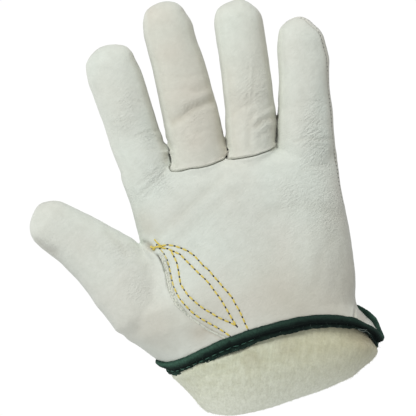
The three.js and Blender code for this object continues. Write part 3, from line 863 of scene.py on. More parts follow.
def leatherMaterial(name, tint):
    look = leatherLook
    material, shader, tree, links = newMaterial(name + "_leather", look["roughness"])
    where = objectCoordinates(tree, links)
    broad = noiseTexture(tree, links, where, *look["broad"])
    mottle = noiseTexture(tree, links, where, *look["mottle"])
    warm = ramp(tree, links, broad, *look["broadRange"], black, white)
    color = mixColor(tree, links, warm, tint["base"], tint["warm"])
    color = mixColor(tree, links, 1.0, color, ramp(tree, links, mottle, *look["speckle"]), "MULTIPLY")
    # painted shade in the folds
    creaseShade = mathNode(tree, links, "MULTIPLY", attribute(tree, "crease"), look["creaseShade"])
    color = mixColor(tree, links, creaseShade, color, look["creaseShadeColor"])
    # painted shade on right-facing sides and in soft patches
    color = mixColor(tree, links, attribute(tree, "tone"), color, look["shadedColor"])
    # painted light on left-facing sides
    color = mixColor(tree, links, attribute(tree, "paintedLight"), color, look["paintedLightColor"])
    # painted shade in the grooves, the slits and the fold lines
    groove = mathNode(tree, links, "POWER", attribute(tree, "seam"), look["groovePower"])
    groove = mathNode(tree, links, "MULTIPLY", groove, look["groove"])
    color = mixColor(tree, links, groove, color, look["grooveShadeColor"])
    links.new(color, shader.inputs["Base Color"])
    grain = tree.new("ShaderNodeTexVoronoi")
    grain.feature = "SMOOTH_F1"
    grain.inputs["Scale"].default_value = look["grain"]
    links.new(where, grain.inputs["Vector"])
    fine = noiseTexture(tree, links, where, *look["fine"])
    soft = noiseTexture(tree, links, where, *look["soft"])
    normal = bump(tree, links, grain.outputs["Distance"], *look["grainBump"])
    normal = bump(tree, links, fine, *look["fineBump"], normal)
    normal = bump(tree, links, soft, *look["softBump"], normal)
    drawn = objectCoordinates(tree, links, look["linesStretch"], look["linesTurn"])
    lines = noiseTexture(tree, links, drawn, *look["lines"])
    lines = mathNode(tree, links, "MULTIPLY", lines, attribute(tree, "crinkle"))
    normal = bump(tree, links, lines, *look["linesBump"], normal)
    links.new(normal, shader.inputs["Normal"])
    shader.inputs["Specular IOR Level"].default_value = look["specular"]
    shader.inputs["Sheen Weight"].default_value = look["sheen"]
    shader.inputs["Sheen Roughness"].default_value = look["sheenRoughness"]
    return material


def makeLeather():
    sheet = leatherSheet()
    pieceLayer = cutSheet(sheet)
    refineSeams(sheet, pieceLayer)
    shapeLeather(sheet, pieceLayer)
    surface = BVHTree.FromBMesh(sheet)
    for k, name in enumerate(leatherNodes):
        bm = sheet.copy()
        layer = bm.faces.layers.int["piece"]
        bmesh.ops.delete(bm, geom=[face for face in bm.faces if face[layer] != k], context="FACES")
        piece = meshObject(name + "_leather", bm)
        if name in leather["keep"]:
            thin = piece.modifiers.new("fewer", "DECIMATE")
            thin.ratio = leather["keep"][name]
        wall = piece.modifiers.new("wall", "SOLIDIFY")
        wall.thickness = leather["wall"]
        wall.offset = -1
        piece.data.materials.append(leatherMaterial(name, leatherTint[name]))
        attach(piece, "root")
        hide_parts(name)
        faces = 4 * len(piece.data.polygons) * leather["keep"].get(name, 1)  # two sides of triangles
        print(name, round(faces), "triangles about")
    sheet.free()
    return surface


# Binding: a folded strip of split leather round the cuff, rough on its face. Its roll, groove, flap
# and raw edge follow one another as the distance from the leather grows.
binding = {
    "voxel": 0.45 * mm, "smoothing": 4, "rough": 0.2 * mm, "roughNoise": (900, 5),
    "broad": 0.3 * mm, "broadNoise": (140, 9), "press": 0.3 * mm, "pressFrom": (3 * mm, 1.5 * mm),
    "wave": 0.35 * mm, "waveNoise": (160, 31), "sewnShare": 0.5,
    "groove": 5.2 * mm, "grooveHalf": 0.75 * mm, "grooveDepth": 0.5 * mm,
    "stitchGroove": 5.8 * mm, "stitchHalf": 0.35 * mm, "stitchDepth": 0.15 * mm,
    "flapRough": 0.35 * mm, "flapNoise": (380, 17), "flapFrom": (6 * mm, 7 * mm),
    "longFrom": 6 * mm, "longStart": 0.5, "longMost": 1.1,
    "cornerRight": (70 * mm, 76 * mm), "cornerLow": (20 * mm, 14 * mm),
    "over": 3 * mm, "up": (-0.35, 0, 0.94), "overFrom": (6 * mm, 9 * mm),
    "overLeft": (174, 182), "overRight": (252, 238), "clear": 0.25 * mm, "clearFrom": 5 * mm,
}
# Its look: a noise is its scale, detail and roughness, a pair where something starts and is full. Each
# band across the roll has its colour, its lower end, middle and upper end, and its share.
bindingLook = {
    "roughness": 0.8, "specular": 0.1, "sheen": 0.07, "sheenColor": srgb(120, 170, 155),
    "color": srgb(27, 46, 41), "light": srgb(70, 106, 90), "dark": srgb(9, 14, 16),
    "streaks": (260, 5, 0.7), "streakRange": (0.3, 0.72), "even": 0.55,
    # the bands are painted light: a painted highlight along the roll's upper part and painted shade on its
    # lower part
    "bands": [("light", 0.02, 0.2, 0.36, 0.7), ("dark", 0.28, 0.46, 0.6, 0.8)],
    # painted shade: darker towards the right, where the binding is higher up
    "rightShadeAcross": (-25 * mm, 50 * mm, 0.66), "rightShadeHeight": (14 * mm, 22 * mm),
    "nap": (1300, 4, 0.7), "napTone": (0.3, 0.7, (0.45, 0.45, 0.45), (1.45, 1.45, 1.45)), "napShare": 0.8,
    "napBump": (0.8, 0.25 * mm), "raw": (0.78, 0.86, black, (0.8, 0.8, 0.8)), "edge": srgb(46, 36, 50),
    # painted shade in the groove and the stitch row
    "sunk": 0.65,
}
# how much further down the flap's lower edge reaches than in the CAD
flapEdge = {
    "across": [160, 174, 186, 198, 210, 222, 240, 252, 258, 266, 280, 290, 300, 312, 324, 333, 342, 348,
               354, 360, 366, 372, 378, 384],
    "mm": [1.4, 1.6, 1.5, 1.8, 1.7, 1.2, 1.4, 0.7, -0.3, 0.0, -0.2, 0.2, -0.4, -0.6, -1.2, -1.7, -2.1, -2.4,
           -3.8, -4.3, -3.8, -1.7, 1.6, 2.4],
}


def bindingMaterial():
    look = bindingLook
    material, shader, tree, links = newMaterial("split_leather", look["roughness"])
    where = objectCoordinates(tree, links)
    streaks = noiseTexture(tree, links, where, *look["streaks"])
    nap = noiseTexture(tree, links, where, *look["nap"])
    color = ramp(tree, links, streaks, *look["streakRange"], look["dark"], look["light"])
    color = mixColor(tree, links, look["even"], color, look["color"])
    # painted highlight and painted shade in bands across the roll
    for target, low, top, high, share in look["bands"]:
        band = tree.new("ShaderNodeValToRGB")
        links.new(attribute(tree, "along"), band.inputs["Fac"])
        for end, place in zip(band.color_ramp.elements, (low, high)):
            end.position = place
            end.color = (*black, 1)
        band.color_ramp.elements.new(top).color = (share, share, share, 1)
        color = mixColor(tree, links, band.outputs["Color"], color, look[target])
    # painted shade towards the right, where the binding is higher up
    place = axes(tree, links, where)
    rightShade = rise(tree, links, place["X"], *look["rightShadeAcross"])
    rightShade = mathNode(tree, links, "MULTIPLY", rightShade, rise(tree, links, place["Z"], *look["rightShadeHeight"]))
    color = mixColor(tree, links, rightShade, color, look["dark"])
    rough = ramp(tree, links, nap, *look["napTone"])
    color = mixColor(tree, links, look["napShare"], color, rough, "MULTIPLY")
    raw = ramp(tree, links, attribute(tree, "along"), *look["raw"])
    color = mixColor(tree, links, raw, color, look["edge"])
    # painted shade in the groove and the stitch row
    sunk = mathNode(tree, links, "MULTIPLY", attribute(tree, "groove"), look["sunk"])
    color = mixColor(tree, links, sunk, color, look["dark"])
    links.new(color, shader.inputs["Base Color"])
    links.new(bump(tree, links, nap, *look["napBump"]), shader.inputs["Normal"])
    shader.inputs["Specular IOR Level"].default_value = look["specular"]
    shader.inputs["Sheen Weight"].default_value = look["sheen"]
    shader.inputs["Sheen Tint"].default_value = (*look["sheenColor"], 1)
    return material


def makeBinding():
    bm = remeshed(copyNodes("cuff_binding"), binding["voxel"])
    relax(bm, binding["smoothing"])
    co = places(bm)
    tree = BVHTree.FromBMesh(copyNodes(*leatherNodes))
    found = [tree.find_nearest(p) for p in co]
    along = np.array([hit[3] for hit in found])
    away = (co - np.array([hit[0] for hit in found])) / along[:, None]
    across = co[:, 0] / photo["pixel"] + photo["centre"]
    longer = np.interp(across, flapEdge["across"], flapEdge["mm"]) * mm
    over = smoothStep(*binding["overFrom"], along) * smoothStep(*binding["overLeft"], across)
    over *= smoothStep(*binding["overRight"], across) * (co[:, 2] > edgeThread["middle"][1])
    co += np.outer(over * binding["over"], binding["up"])  # rises over the step of the pile
    corner = smoothStep(*binding["cornerRight"], co[:, 0]) * smoothStep(*binding["cornerLow"], co[:, 2])
    longer *= 1 - corner
    longer *= np.clip(along / binding["longFrom"] - binding["longStart"], 0, binding["longMost"])
    lining = BVHTree.FromBMesh(copyNodes("fleece_lining"))
    co += away * longer[:, None]
    for k in np.flatnonzero(along > binding["clearFrom"]):
        spot, normal = lining.find_nearest(co[k])[:2]
        outwards = co[k][[0, 2]] - edgeThread["middle"]
        if normal.x * outwards[0] + normal.z * outwards[1] > 0:
            height = (Vector(co[k]) - spot).dot(normal)
            co[k] += np.array(normal) * max(binding["clear"] - height, 0)
    setPlaces(bm, co)
    relax(bm, binding["smoothing"])
    nudge(bm, bindingNudges)
    co = places(bm)
    wavy = along + binding["wave"] * noiseAt(co, *binding["waveNoise"])
    groove = hump(wavy - binding["groove"], binding["grooveHalf"])
    sewn = hump(wavy - binding["stitchGroove"], binding["stitchHalf"])
    shift = binding["rough"] * noiseAt(co, *binding["roughNoise"])
    shift += binding["broad"] * noiseAt(co, *binding["broadNoise"])
    shift -= binding["grooveDepth"] * groove + binding["stitchDepth"] * sewn
    flap = smoothStep(*binding["flapFrom"], along)
    shift += binding["flapRough"] * noiseAt(co, *binding["flapNoise"]) * flap
    shift += binding["press"] * smoothStep(*binding["pressFrom"], along)
    setPlaces(bm, onGround(co + normals(bm) * shift[:, None]))
    # the groove attribute also sets the painted shade in the groove and the stitch row
    groove = np.maximum(groove, binding["sewnShare"] * sewn)
    setLayers(bm, {"along": along / (10 * mm), "groove": groove})  # along is in centimetres
    face = BVHTree.FromBMesh(bm)
    piece = meshObject("bound_edge", bm)
    piece.data.materials.append(bindingMaterial())
    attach(piece, "root")
    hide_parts("cuff_binding")
    print("binding", len(piece.data.polygons) * 2)
    sewBinding(piece, face)
    return face


# Threads lie on a face as a row of stitches between needle holes; the holes are dark spots of painted
# shade.
thread = {
    "pitch": 3.85 * mm, "share": 0.78, "radius": 0.48 * mm, "lift": 0.12 * mm, "flat": 0.85,
    "slim": {"besideWelt": 0.5}, "slimRun": 2.5,
    "hole": 0.48 * mm, "stretch": 1.7, "holeDepth": 0.45, "slimHole": 0.6,
    # the last colour is the dark of the needle holes, painted shade
    "yellow": srgb(230, 212, 96), "shade": srgb(198, 172, 66), "paintedShade": srgb(22, 24, 36),
    "sidePitch": 2.2 * mm, "sideHole": 0.3 * mm, "extraHoles": [(157.1, 244.6), (237, 325.7)],
    "endStep": 0.6 * mm, "endLift": (0.5, 0.3), "endShare": 0.8,
    "roughness": 0.6, "sheen": 0.2, "strands": (2600, 3, 0.6), "strandRange": (0.3, 0.65),
    "strandBump": (0.6, 0.12 * mm),
}


# where a face lies under places seen from above, with its normal there
def onFace(face, spots):
    hits = [face.ray_cast(Vector((x, y, aboveAll)), Vector((0, 0, -1))) for x, y in spots]
    return [(hit[0], hit[1]) for hit in hits if hit[0] is not None]


def addStitch(bm, middle, normal, along, style, thick):
    across = normal.cross(along).normalized()
    up = along.cross(across).normalized()
    size = Matrix.Diagonal((along.length * style["share"] / 2, thick, thick * thread["flat"], 1))
    turn = Matrix((along.normalized(), across, up)).transposed().to_4x4()
    place = Matrix.Translation(middle + up * style["lift"])
    bmesh.ops.create_uvsphere(bm, u_segments=10, v_segments=7, radius=1, matrix=place @ turn @ size)


# slim: how thick the first stitches are, as a share of the last
def addStitches(bm, face, line, style, slim=1):
    stops = photoLine(line, style["pitch"])
    hits = onFace(face, stops)
    middles = onFace(face, (stops[1:] + stops[:-1]) / 2)
    for k, (middle, normal) in enumerate(middles[:len(hits) - 1]):
        thick = style["radius"] * min(slim + (1 - slim) * k / len(middles) * thread["slimRun"], 1)
        addStitch(bm, middle, normal, hits[k + 1][0] - hits[k][0], style, thick)
    return hits


def addHoles(bm, hits, radius, stretch=1):
    for k, (spot, normal) in enumerate(hits):
        along = hits[min(k + 1, len(hits) - 1)][0] - hits[max(k - 1, 0)][0]
        across = normal.cross(along).normalized()
        turn = Matrix((across.cross(normal), across, normal)).transposed().to_4x4()
        size = Matrix.Diagonal((stretch, 1, thread["holeDepth"], 1))
        bmesh.ops.create_uvsphere(bm, u_segments=8, v_segments=6, radius=radius,
                                  matrix=Matrix.Translation(spot) @ turn @ size)


def threadMaterial(name, color, shade):
    material, shader, tree, links = newMaterial(name, thread["roughness"])
    strands = noiseTexture(tree, links, objectCoordinates(tree, links), *thread["strands"])
    tone = ramp(tree, links, strands, *thread["strandRange"], shade, color)
    links.new(tone, shader.inputs["Base Color"])
    links.new(bump(tree, links, strands, *thread["strandBump"]), shader.inputs["Normal"])
    shader.inputs["Sheen Weight"].default_value = thread["sheen"]
    return material


def finishThread(name, bm, material):
    piece = meshObject(name, bm)
    piece.data.materials.append(material)
    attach(piece, "root")
    print(name, len(piece.data.polygons), "faces")


# a round strand through places, with a radius for each
def strand(bm, points, radii, sides=8):
    curve = bpy.data.curves.new("strand", "CURVE")
    curve.dimensions = "3D"
    curve.bevel_depth = 1.0
    curve.bevel_resolution = (sides - 4) // 2
    curve.use_fill_caps = True
    spline = curve.splines.new("POLY")
    spline.points.add(len(points) - 1)
    for spot, place, radius in zip(spline.points, points, radii):
        spot.co = (*place, 1)
        spot.radius = radius
    takeMesh(bm, addToScene("strand", curve))


# The binding's own stitches run round the cuff on its flap, with fuzz caught in them.
edgeThread = {
    "pitch": 4.4 * mm, "share": 0.74, "radius": 0.19 * mm, "lift": 0.06 * mm, "lowest": 0.8 * mm,
    "middle": (34 * mm, 20 * mm), "bins": 150, "color": srgb(84, 146, 124), "shade": srgb(44, 92, 78),
    "covered": (27 * mm, 20 * mm),  # further right and higher than this the nap hides the stitches
    "rowHalf": 0.5 * mm, "fuzz": 110, "fuzzLength": (0.8 * mm, 2.6 * mm), "fuzzRadius": 0.05 * mm,
    "fuzzFrom": 4.8 * mm, "fuzzAbove": 4 * mm, "fuzzLean": 0.5, "fuzzSpread": 0.6, "fuzzSeeds": (61, 67),
    "fuzzColor": srgb(120, 142, 134),
    "looseStep": 0.6 * mm, "looseRadius": 0.12 * mm, "looseColor": srgb(166, 174, 170),
}

# loose threads on the binding, as they lie in the photograph
looseThreads = [
    [(355.5, 329.6), (358.5, 328.2), (362, 329.2), (366, 328.6)],
    [(357, 328), (360, 330.4), (364.5, 330.9)],
    [(362, 328.6), (366, 330.6), (369.5, 333.8)],
]


# stitches over the groove, fuzz that stands in them, and the loose threads
def sewBinding(piece, face):
    mesh = piece.data
    co = np.array([v.co for v in mesh.vertices])
    off = np.array([v.normal for v in mesh.vertices])
    lowest = edgeThread["lowest"]
    along = np.array([entry.value for entry in mesh.attributes["along"].data]) * 10 * mm  # in metres
    outwards = co[:, [0, 2]] - edgeThread["middle"]
    turn = np.arctan2(outwards[:, 1], outwards[:, 0])
    outer = (off[:, [0, 2]] * outwards).sum(1) > 0
    onRow = outer & (abs(along - binding["stitchGroove"]) < edgeThread["rowHalf"])
    row = []
    for start in np.linspace(-math.pi, math.pi, edgeThread["bins"], endpoint=False):
        inBin = onRow & (turn >= start) & (turn < start + 2 * math.pi / edgeThread["bins"])
        if inBin.any():
            row.append(co[inBin].mean(0))
    stops = evenLine(row + row[:1], edgeThread["pitch"])
    bm = bmesh.new()
    for first, last in zip(stops[:-1], stops[1:]):
        spot, normal = face.find_nearest((first + last) / 2)[:2]
        covered = first[0] > edgeThread["covered"][0] and first[2] > edgeThread["covered"][1]
        if min(first[2], last[2]) > lowest and not covered:
            addStitch(bm, spot, normal, Vector(last - first), edgeThread, edgeThread["radius"])
    finishThread("binding_stitches", bm,
                 threadMaterial("green_thread", edgeThread["color"], edgeThread["shade"]))
    seed, fibreSeed = edgeThread["fuzzSeeds"]
    rng = np.random.default_rng(seed)
    fuzzy = outer & (along > edgeThread["fuzzFrom"]) & (co[:, 2] > edgeThread["fuzzAbove"])
    picks = rng.choice(np.flatnonzero(fuzzy), edgeThread["fuzz"])
    spread = rng.normal(size=(len(picks), 3)) * edgeThread["fuzzSpread"]
    lean = off[picks] * edgeThread["fuzzLean"] + spread
    lengths = rng.uniform(*edgeThread["fuzzLength"], len(picks))
    fuzz = fibreObject("binding_fuzz", co[picks], lean, lengths, edgeThread["fuzzRadius"], fibreSeed)
    fuzz.data.materials.append(threadMaterial("fuzz", edgeThread["fuzzColor"], edgeThread["shade"]))
    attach(fuzz, "root")
    loose = bmesh.new()
    radius = edgeThread["looseRadius"]
    for line in looseThreads:
        hits = onFace(face, photoLine(line, edgeThread["looseStep"]))
        strand(loose, [spot + normal * radius for spot, normal in hits], [radius] * len(hits))
    grey = threadMaterial("grey_thread", edgeThread["looseColor"], edgeThread["fuzzColor"])
    finishThread("loose_threads", loose, grey)


looseEnds = [
    [(154.8, 239.4), (157.5, 242.5), (161, 245.6)],
    [(151.7, 245.8), (153.5, 247.5), (155.5, 249.6)],
    [(153.2, 250.2), (155.5, 247.8), (157.5, 246.6), (161, 246.0), (164.5, 248.4)],
    [(151.5, 246.8), (154.5, 247.2), (158, 246.8), (161.5, 247.3)],
]


def makeStitches(face):
    yellow = bmesh.new()
    holes = bmesh.new()
    for name, line in stitchLines.items():
        slim = thread["slim"].get(name, 1)
        hits = addStitches(yellow, face, line, thread, slim)
        addHoles(holes, hits, thread["hole"] * atLeast(thread["slimHole"], slim), thread["stretch"])
    addHoles(holes, onFace(face, fromPhoto(thread["extraHoles"])), thread["hole"])
    low, step = thread["endLift"]
    for k, line in enumerate(looseEnds):  # each lies a little over the one before
        hits = onFace(face, photoLine(line, thread["endStep"]))
        hits = [spot + normal * (low + step * k) * thread["radius"] for spot, normal in hits]
        strand(yellow, hits, [thread["radius"] * thread["endShare"]] * len(hits))
    sideHoles = onFace(face, photoLine(littleSeamLine, thread["sidePitch"]))
    addHoles(holes, sideHoles, thread["sideHole"])
    bright = threadMaterial("yellow_thread", thread["yellow"], thread["shade"])
    finishThread("yellow_stitches", yellow, bright)
    # the needle holes: dark spots of painted shade
    finishThread("needle_holes", holes, threadMaterial("hole_shade", thread["paintedShade"], thread["paintedShade"]))


# The welt: the edges of two layers of leather, side by side in the thumb's seam, with a third
# crumpled between them.
welt = {
    "step": 0.45 * mm, "wide": 0.58 * mm, "narrow": 0.26 * mm, "apart": 0.66 * mm, "sink": 0.5,
    "slim": (0.4, 0.6), "start": 0.4, "startRun": 8, "closer": 0.6, "sides": 12,
    "wobble": 0.12 * mm, "wobbleScale": 400,
    "crumple": 0.07 * mm, "crumples": [(1, 900, 4), (0.6, 2000, 6)],  # share, scale, seed
    "light": srgb(214, 218, 206), "shade": srgb(170, 175, 166), "roughness": 0.6,
    "creases": (900, 3, 0.55), "creaseRange": (0.34, 0.5), "creaseBump": (0.7, 0.3 * mm),
    "strands": [(-1, 1.0, 0.0), (1, 1.0, 5.0), (0, 0.5, 9.0)],  # side, thickness, seed
}


def makeWelt(face):
    line = photoLine(weltLine, welt["step"])
    part = np.linspace(0, 1, len(line))
    slim = smoothStep(*welt["slim"], part)
    radii = welt["wide"] + (welt["narrow"] - welt["wide"]) * slim
    radii *= np.minimum(1, welt["start"] + part * welt["startRun"])
    side = sideways(line)
    bm = bmesh.new()
    for way, thick, seed in welt["strands"]:
        flat = np.column_stack([line, np.zeros(len(line))])
        wobble = welt["wobble"] * noiseAt(flat, welt["wobbleScale"], seed)
        spots = line + side * (way * welt["apart"] * (1 - welt["closer"] * slim) + wobble)[:, None]
        lift = radii * (welt["sink"] + 1 - thick)
        points = [spot + Vector((0, 0, high)) for (spot, _), high in zip(onFace(face, spots), lift)]
        strand(bm, points, radii * thick, welt["sides"])
    bmesh.ops.subdivide_edges(bm, edges=bm.edges, cuts=1, use_grid_fill=True)
    co = places(bm)
    shift = sum(share * noiseAt(co, scale, seed) for share, scale, seed in welt["crumples"])
    shift = welt["crumple"] * shift
    setPlaces(bm, co + normals(bm) * shift[:, None])
    piece = meshObject("thumb_welt_strip", bm)
    material, shader, tree, links = newMaterial("welt_leather", welt["roughness"])
    creases = noiseTexture(tree, links, objectCoordinates(tree, links), *welt["creases"])
    color = ramp(tree, links, creases, *welt["creaseRange"], welt["shade"], welt["light"])
    links.new(color, shader.inputs["Base Color"])
    links.new(bump(tree, links, creases, *welt["creaseBump"]), shader.inputs["Normal"])
    piece.data.materials.append(material)
    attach(piece, "root")
    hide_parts("thumb_welt")
    print("welt", len(piece.data.polygons) * 2)


# Fibres of the pile and the binding: how far the middle bends sideways and how thick it still is, as
# shares of the fibre's length and radius.
fibre = {"bend": 0.3, "middleThick": 0.8}


# many thin closed fibres: three sides, a bend in the middle and a pointed end
def fibreObject(name, roots, directions, lengths, radius, seed):
    rng = np.random.default_rng(seed)
    count = len(roots)
    directions = directions / np.linalg.norm(directions, axis=1)[:, None]
    side = np.cross(directions, rng.normal(size=(count, 3)))
    side /= np.linalg.norm(side, axis=1)[:, None]
    other = np.cross(directions, side)
    bend = side * (rng.uniform(-fibre["bend"], fibre["bend"], count) * lengths)[:, None]
    middle = roots + directions * (lengths * 0.5)[:, None] + bend
    tip = roots + directions * lengths[:, None]
    turns = np.arange(3) / 3 * 2 * math.pi
    ring = (side[:, None] * np.cos(turns)[None, :, None] + other[:, None] * np.sin(turns)[None, :, None])
    upper = middle[:, None] + ring * radius * fibre["middleThick"]
    verts = np.concatenate([roots[:, None] + ring * radius, upper, tip[:, None]], axis=1)
    faces = [(2, 1, 0)]
    for i in range(3):
        j = (i + 1) % 3
        faces += [(i, j, 3 + j), (i, 3 + j, 3 + i), (3 + i, 3 + j, 6)]
    loops = (np.array(faces)[None] + 7 * np.arange(count)[:, None, None]).reshape(-1, 3)
    mesh = bpy.data.meshes.new(name)
    mesh.from_pydata(verts.reshape(-1, 3).tolist(), [], loops.tolist())
    return addToScene(name, mesh)


# random places on some faces of a mesh, with the face normals there
def scatter(mesh, chosen, count, seed):
    rng = np.random.default_rng(seed)
    picks = rng.choice(chosen, count)
    spots = []
    away = []
    for index, share in zip(picks, rng.uniform(size=(count, 2))):
        face = mesh.polygons[index]
        a, b, c = (mesh.vertices[k].co for k in face.vertices[:3])
        u, v = share if share.sum() < 1 else 1 - share
        spots.append(a + (b - a) * u + (c - a) * v)
        away.append(face.normal)
    return np.array(spots), np.array(away)


# Pile lining: clumped surface and loose fibres.
pile = {
    "voxel": 0.95 * mm, "smoothing": 12, "clump": 0.1 * mm, "curl": 0.1 * mm,
    "clumpNoise": (330, 2), "curlNoise": (900, 7),
    "axis": (32 * mm, 18 * mm), "start": -56 * mm, "rise": 0.9 * mm, "riseReach": 4 * mm,
    "bulgeAt": (89 * mm, -73 * mm), "bulgeWide": 7 * mm, "bulge": 2.2 * mm,
    "fibres": 20000, "fibreLength": (0.6 * mm, 1.7 * mm), "fibreRadius": 0.06 * mm, "lowest": 0.3 * mm,
    "flow": (0.15, -1, 0), "lean": 0.15, "spread": 0.35, "rooted": 0.2 * mm, "seeds": (41, 43, 47),
}
# Its look: a noise is its scale, detail and roughness, a pair where something starts and is full.
pileLook = {
    # brown: painted shade towards the little finger's side
    "light": srgb(217, 222, 200), "deep": srgb(209, 213, 188), "brownShade": srgb(206, 203, 173),
    # rim: the colour of painted shade under the binding's flap
    "rim": srgb(176, 166, 138), "paintedLight": srgb(240, 245, 231), "fibre": srgb(228, 231, 214),
    "broad": (28, 3), "patches": 60 * mm, "brownShadeAcross": (20 * mm, 95 * mm),
    # pale, and where it starts and is full: painted light towards the pile's end and left edge
    "endSlope": 0.15, "endPaintedLight": (86 * mm, 112 * mm),
    "leftSlope": -0.9, "leftPaintedLight": (92 * mm, 103 * mm, 0.7),
    "strandStretch": 4, "strandTurn": 82, "strands": (640, 3, 0.6), "strandShare": 0.55,
    "strandTone": (0.34, 0.66, (0.84, 0.84, 0.8), (1.08, 1.08, 1.09)),
    "clumps": (0.1, 0.7), "fine": (900, 5, 0.7), "fineShare": 0.5,
    "speckle": (0.3, 0.7, (0.8, 0.8, 0.78), (1.1, 1.1, 1.1)), "bump": (0.9, 0.5 * mm),
    "roughness": 0.95, "specular": 0.05, "sheen": 0.3,
    "fibreRoughness": 0.9, "fibreSpecular": 0.1, "fibreNoise": (700, 2), "fibreRange": (0.3, 0.7),
}


# how brown the pile is: darker and browner towards the little finger's side, in soft patches, as painted
# shade
def brownShadePart(tree, links, broad):
    place = axes(tree, links, objectCoordinates(tree, links))
    spread = mathNode(tree, links, "SUBTRACT", broad, 0.5)
    spread = mathNode(tree, links, "MULTIPLY", spread, pileLook["patches"])
    place = mathNode(tree, links, "ADD", place["X"], spread)
    return rise(tree, links, place, *pileLook["brownShadeAcross"])


# Where shade is painted on the pile, browner, under the binding's flap: x and y in the photograph, reach in
# its pixels and strength.
pileShadePatches = [
    (364, 341, 9, 0.6), (350, 334, 8, 0.3), (285, 346, 12, 0.25), (252, 356, 12, 0.25),
]


# light and dark strands that run down the picture
def strandTone(tree, links, color):
    drawn = objectCoordinates(tree, links, pileLook["strandStretch"], pileLook["strandTurn"])
    strands = noiseTexture(tree, links, drawn, *pileLook["strands"])
    tone = ramp(tree, links, strands, *pileLook["strandTone"])
    return mixColor(tree, links, pileLook["strandShare"], color, tone, "MULTIPLY")


# how pale it is: more towards its end and its left edge, as painted light
def paintedLightPart(tree, links):
    place = axes(tree, links, objectCoordinates(tree, links))
    slope = mathNode(tree, links, "MULTIPLY", place["X"], pileLook["endSlope"])
    end = rise(tree, links, mathNode(tree, links, "SUBTRACT", slope, place["Y"]), *pileLook["endPaintedLight"])
    slope = mathNode(tree, links, "MULTIPLY", place["Y"], pileLook["leftSlope"])
    left = rise(tree, links, mathNode(tree, links, "SUBTRACT", slope, place["X"]), *pileLook["leftPaintedLight"])
    return mathNode(tree, links, "MAXIMUM", end, left)


# the colour that the pile and its fibres share, over a first colour, with painted shade and painted light
def pileColor(tree, links, color):
    broad = noiseTexture(tree, links, objectCoordinates(tree, links), *pileLook["broad"])
    # painted shade, browner towards the little finger's side
    color = mixColor(tree, links, brownShadePart(tree, links, broad), color, pileLook["brownShade"])
    # painted light towards the pile's end and left edge
    color = mixColor(tree, links, paintedLightPart(tree, links), color, pileLook["paintedLight"])
    # painted shade under the binding's flap
    color = mixColor(tree, links, attribute(tree, "tone"), color, pileLook["rim"])
    return strandTone(tree, links, color)


def pileMaterial():
    look = pileLook
    material, shader, tree, links = newMaterial("pile", look["roughness"])
    fine = noiseTexture(tree, links, objectCoordinates(tree, links), *look["fine"])
    color = ramp(tree, links, attribute(tree, "clump"), *look["clumps"], look["deep"], look["light"])
    color = pileColor(tree, links, color)
    speckle = ramp(tree, links, fine, *look["speckle"])
    color = mixColor(tree, links, look["fineShare"], color, speckle, "MULTIPLY")
    links.new(color, shader.inputs["Base Color"])
    links.new(bump(tree, links, fine, *look["bump"]), shader.inputs["Normal"])
    shader.inputs["Specular IOR Level"].default_value = look["specular"]
    shader.inputs["Sheen Weight"].default_value = look["sheen"]
    return material


def fibreMaterial():
    look = pileLook
    material, shader, tree, links = newMaterial("pile_fibre", look["fibreRoughness"])
    tone = noiseTexture(tree, links, objectCoordinates(tree, links), *look["fibreNoise"])
    color = ramp(tree, links, tone, *look["fibreRange"], look["deep"], look["fibre"])
    links.new(pileColor(tree, links, color), shader.inputs["Base Color"])
    shader.inputs["Specular IOR Level"].default_value = look["fibreSpecular"]
    return material


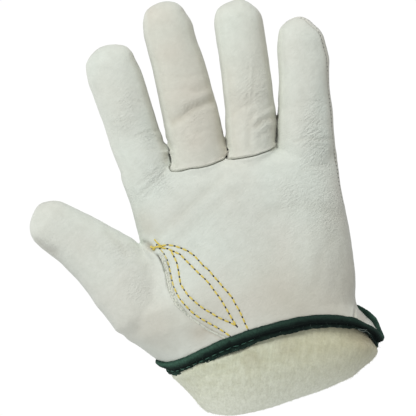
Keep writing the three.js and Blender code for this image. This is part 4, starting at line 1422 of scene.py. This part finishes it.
def makePile(bindingFace):
    bm = remeshed(copyNodes("fleece_lining"), pile["voxel"])
    relax(bm, pile["smoothing"])
    nudge(bm, pileNudges)
    co = places(bm)
    clumps = noiseAt(co, *pile["clumpNoise"])
    curls = noiseAt(co, *pile["curlNoise"])
    bulge = hump(np.linalg.norm(co[:, :2] - pile["bulgeAt"], axis=1), pile["bulgeWide"])
    shift = pile["clump"] * clumps + pile["curl"] * curls + pile["bulge"] * bulge
    edge = np.array([bindingFace.find_nearest(p)[3] for p in co])  # swells out below the binding
    outwards = normals(bm)[:, [0, 2]] * (co[:, [0, 2]] - pile["axis"])
    shift += pile["rise"] * hump(edge, pile["riseReach"]) * (outwards.sum(1) > 0)
    setPlaces(bm, onGround(co + normals(bm) * shift[:, None]))
    # tone: painted shade under the binding's flap
    setLayers(bm, {"clump": 0.5 + clumps + 0.5 * curls, "tone": patches(co, pileShadePatches)})
    piece = meshObject("pile_lining", bm)
    piece.data.materials.append(pileMaterial())
    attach(piece, "root")
    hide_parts("fleece_lining")
    print("pile", len(piece.data.polygons) * 2)
    addFibres(piece)


# loose fibres on the part of the pile that shows, which point towards its end
def addFibres(piece):
    mesh = piece.data
    count = len(mesh.polygons)
    centres = np.empty(count * 3)
    facing = np.empty(count * 3)
    mesh.polygons.foreach_get("center", centres)
    mesh.polygons.foreach_get("normal", facing)
    centres = centres.reshape(-1, 3)
    outwards = (centres[:, [0, 2]] - pile["axis"]) * facing.reshape(-1, 3)[:, [0, 2]]
    chosen = np.flatnonzero((outwards.sum(1) > 0) & (centres[:, 1] < pile["start"]))
    placeSeed, leanSeed, bendSeed = pile["seeds"]
    spots, away = scatter(mesh, chosen, pile["fibres"], placeSeed)
    rng = np.random.default_rng(leanSeed)
    flow = np.array(pile["flow"])
    flow = flow - away * (away @ flow)[:, None]
    directions = flow + rng.normal(size=spots.shape) * pile["spread"] + away * pile["lean"]
    lengths = rng.uniform(*pile["fibreLength"], len(spots))
    ends = spots[:, 2] + np.minimum(directions[:, 2], 0) * lengths
    above = ends > pile["lowest"]
    spots, away, directions, lengths = spots[above], away[above], directions[above], lengths[above]
    roots = spots - away * pile["rooted"]
    fibres = fibreObject("pile_fibres", roots, directions, lengths, pile["fibreRadius"], bendSeed)
    # the fibres take the same painted shade under the binding's flap
    tones = fibres.data.attributes.new("tone", "FLOAT", "POINT")
    tones.data.foreach_set("value", np.repeat(patches(spots, pileShadePatches), 7))  # seven corners a fibre
    fibres.data.materials.append(fibreMaterial())
    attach(fibres, "root")


makeCamera()
makeStudio()
leatherFace = makeLeather()
makeStitches(leatherFace)
makeWelt(leatherFace)
makePile(makeBinding())
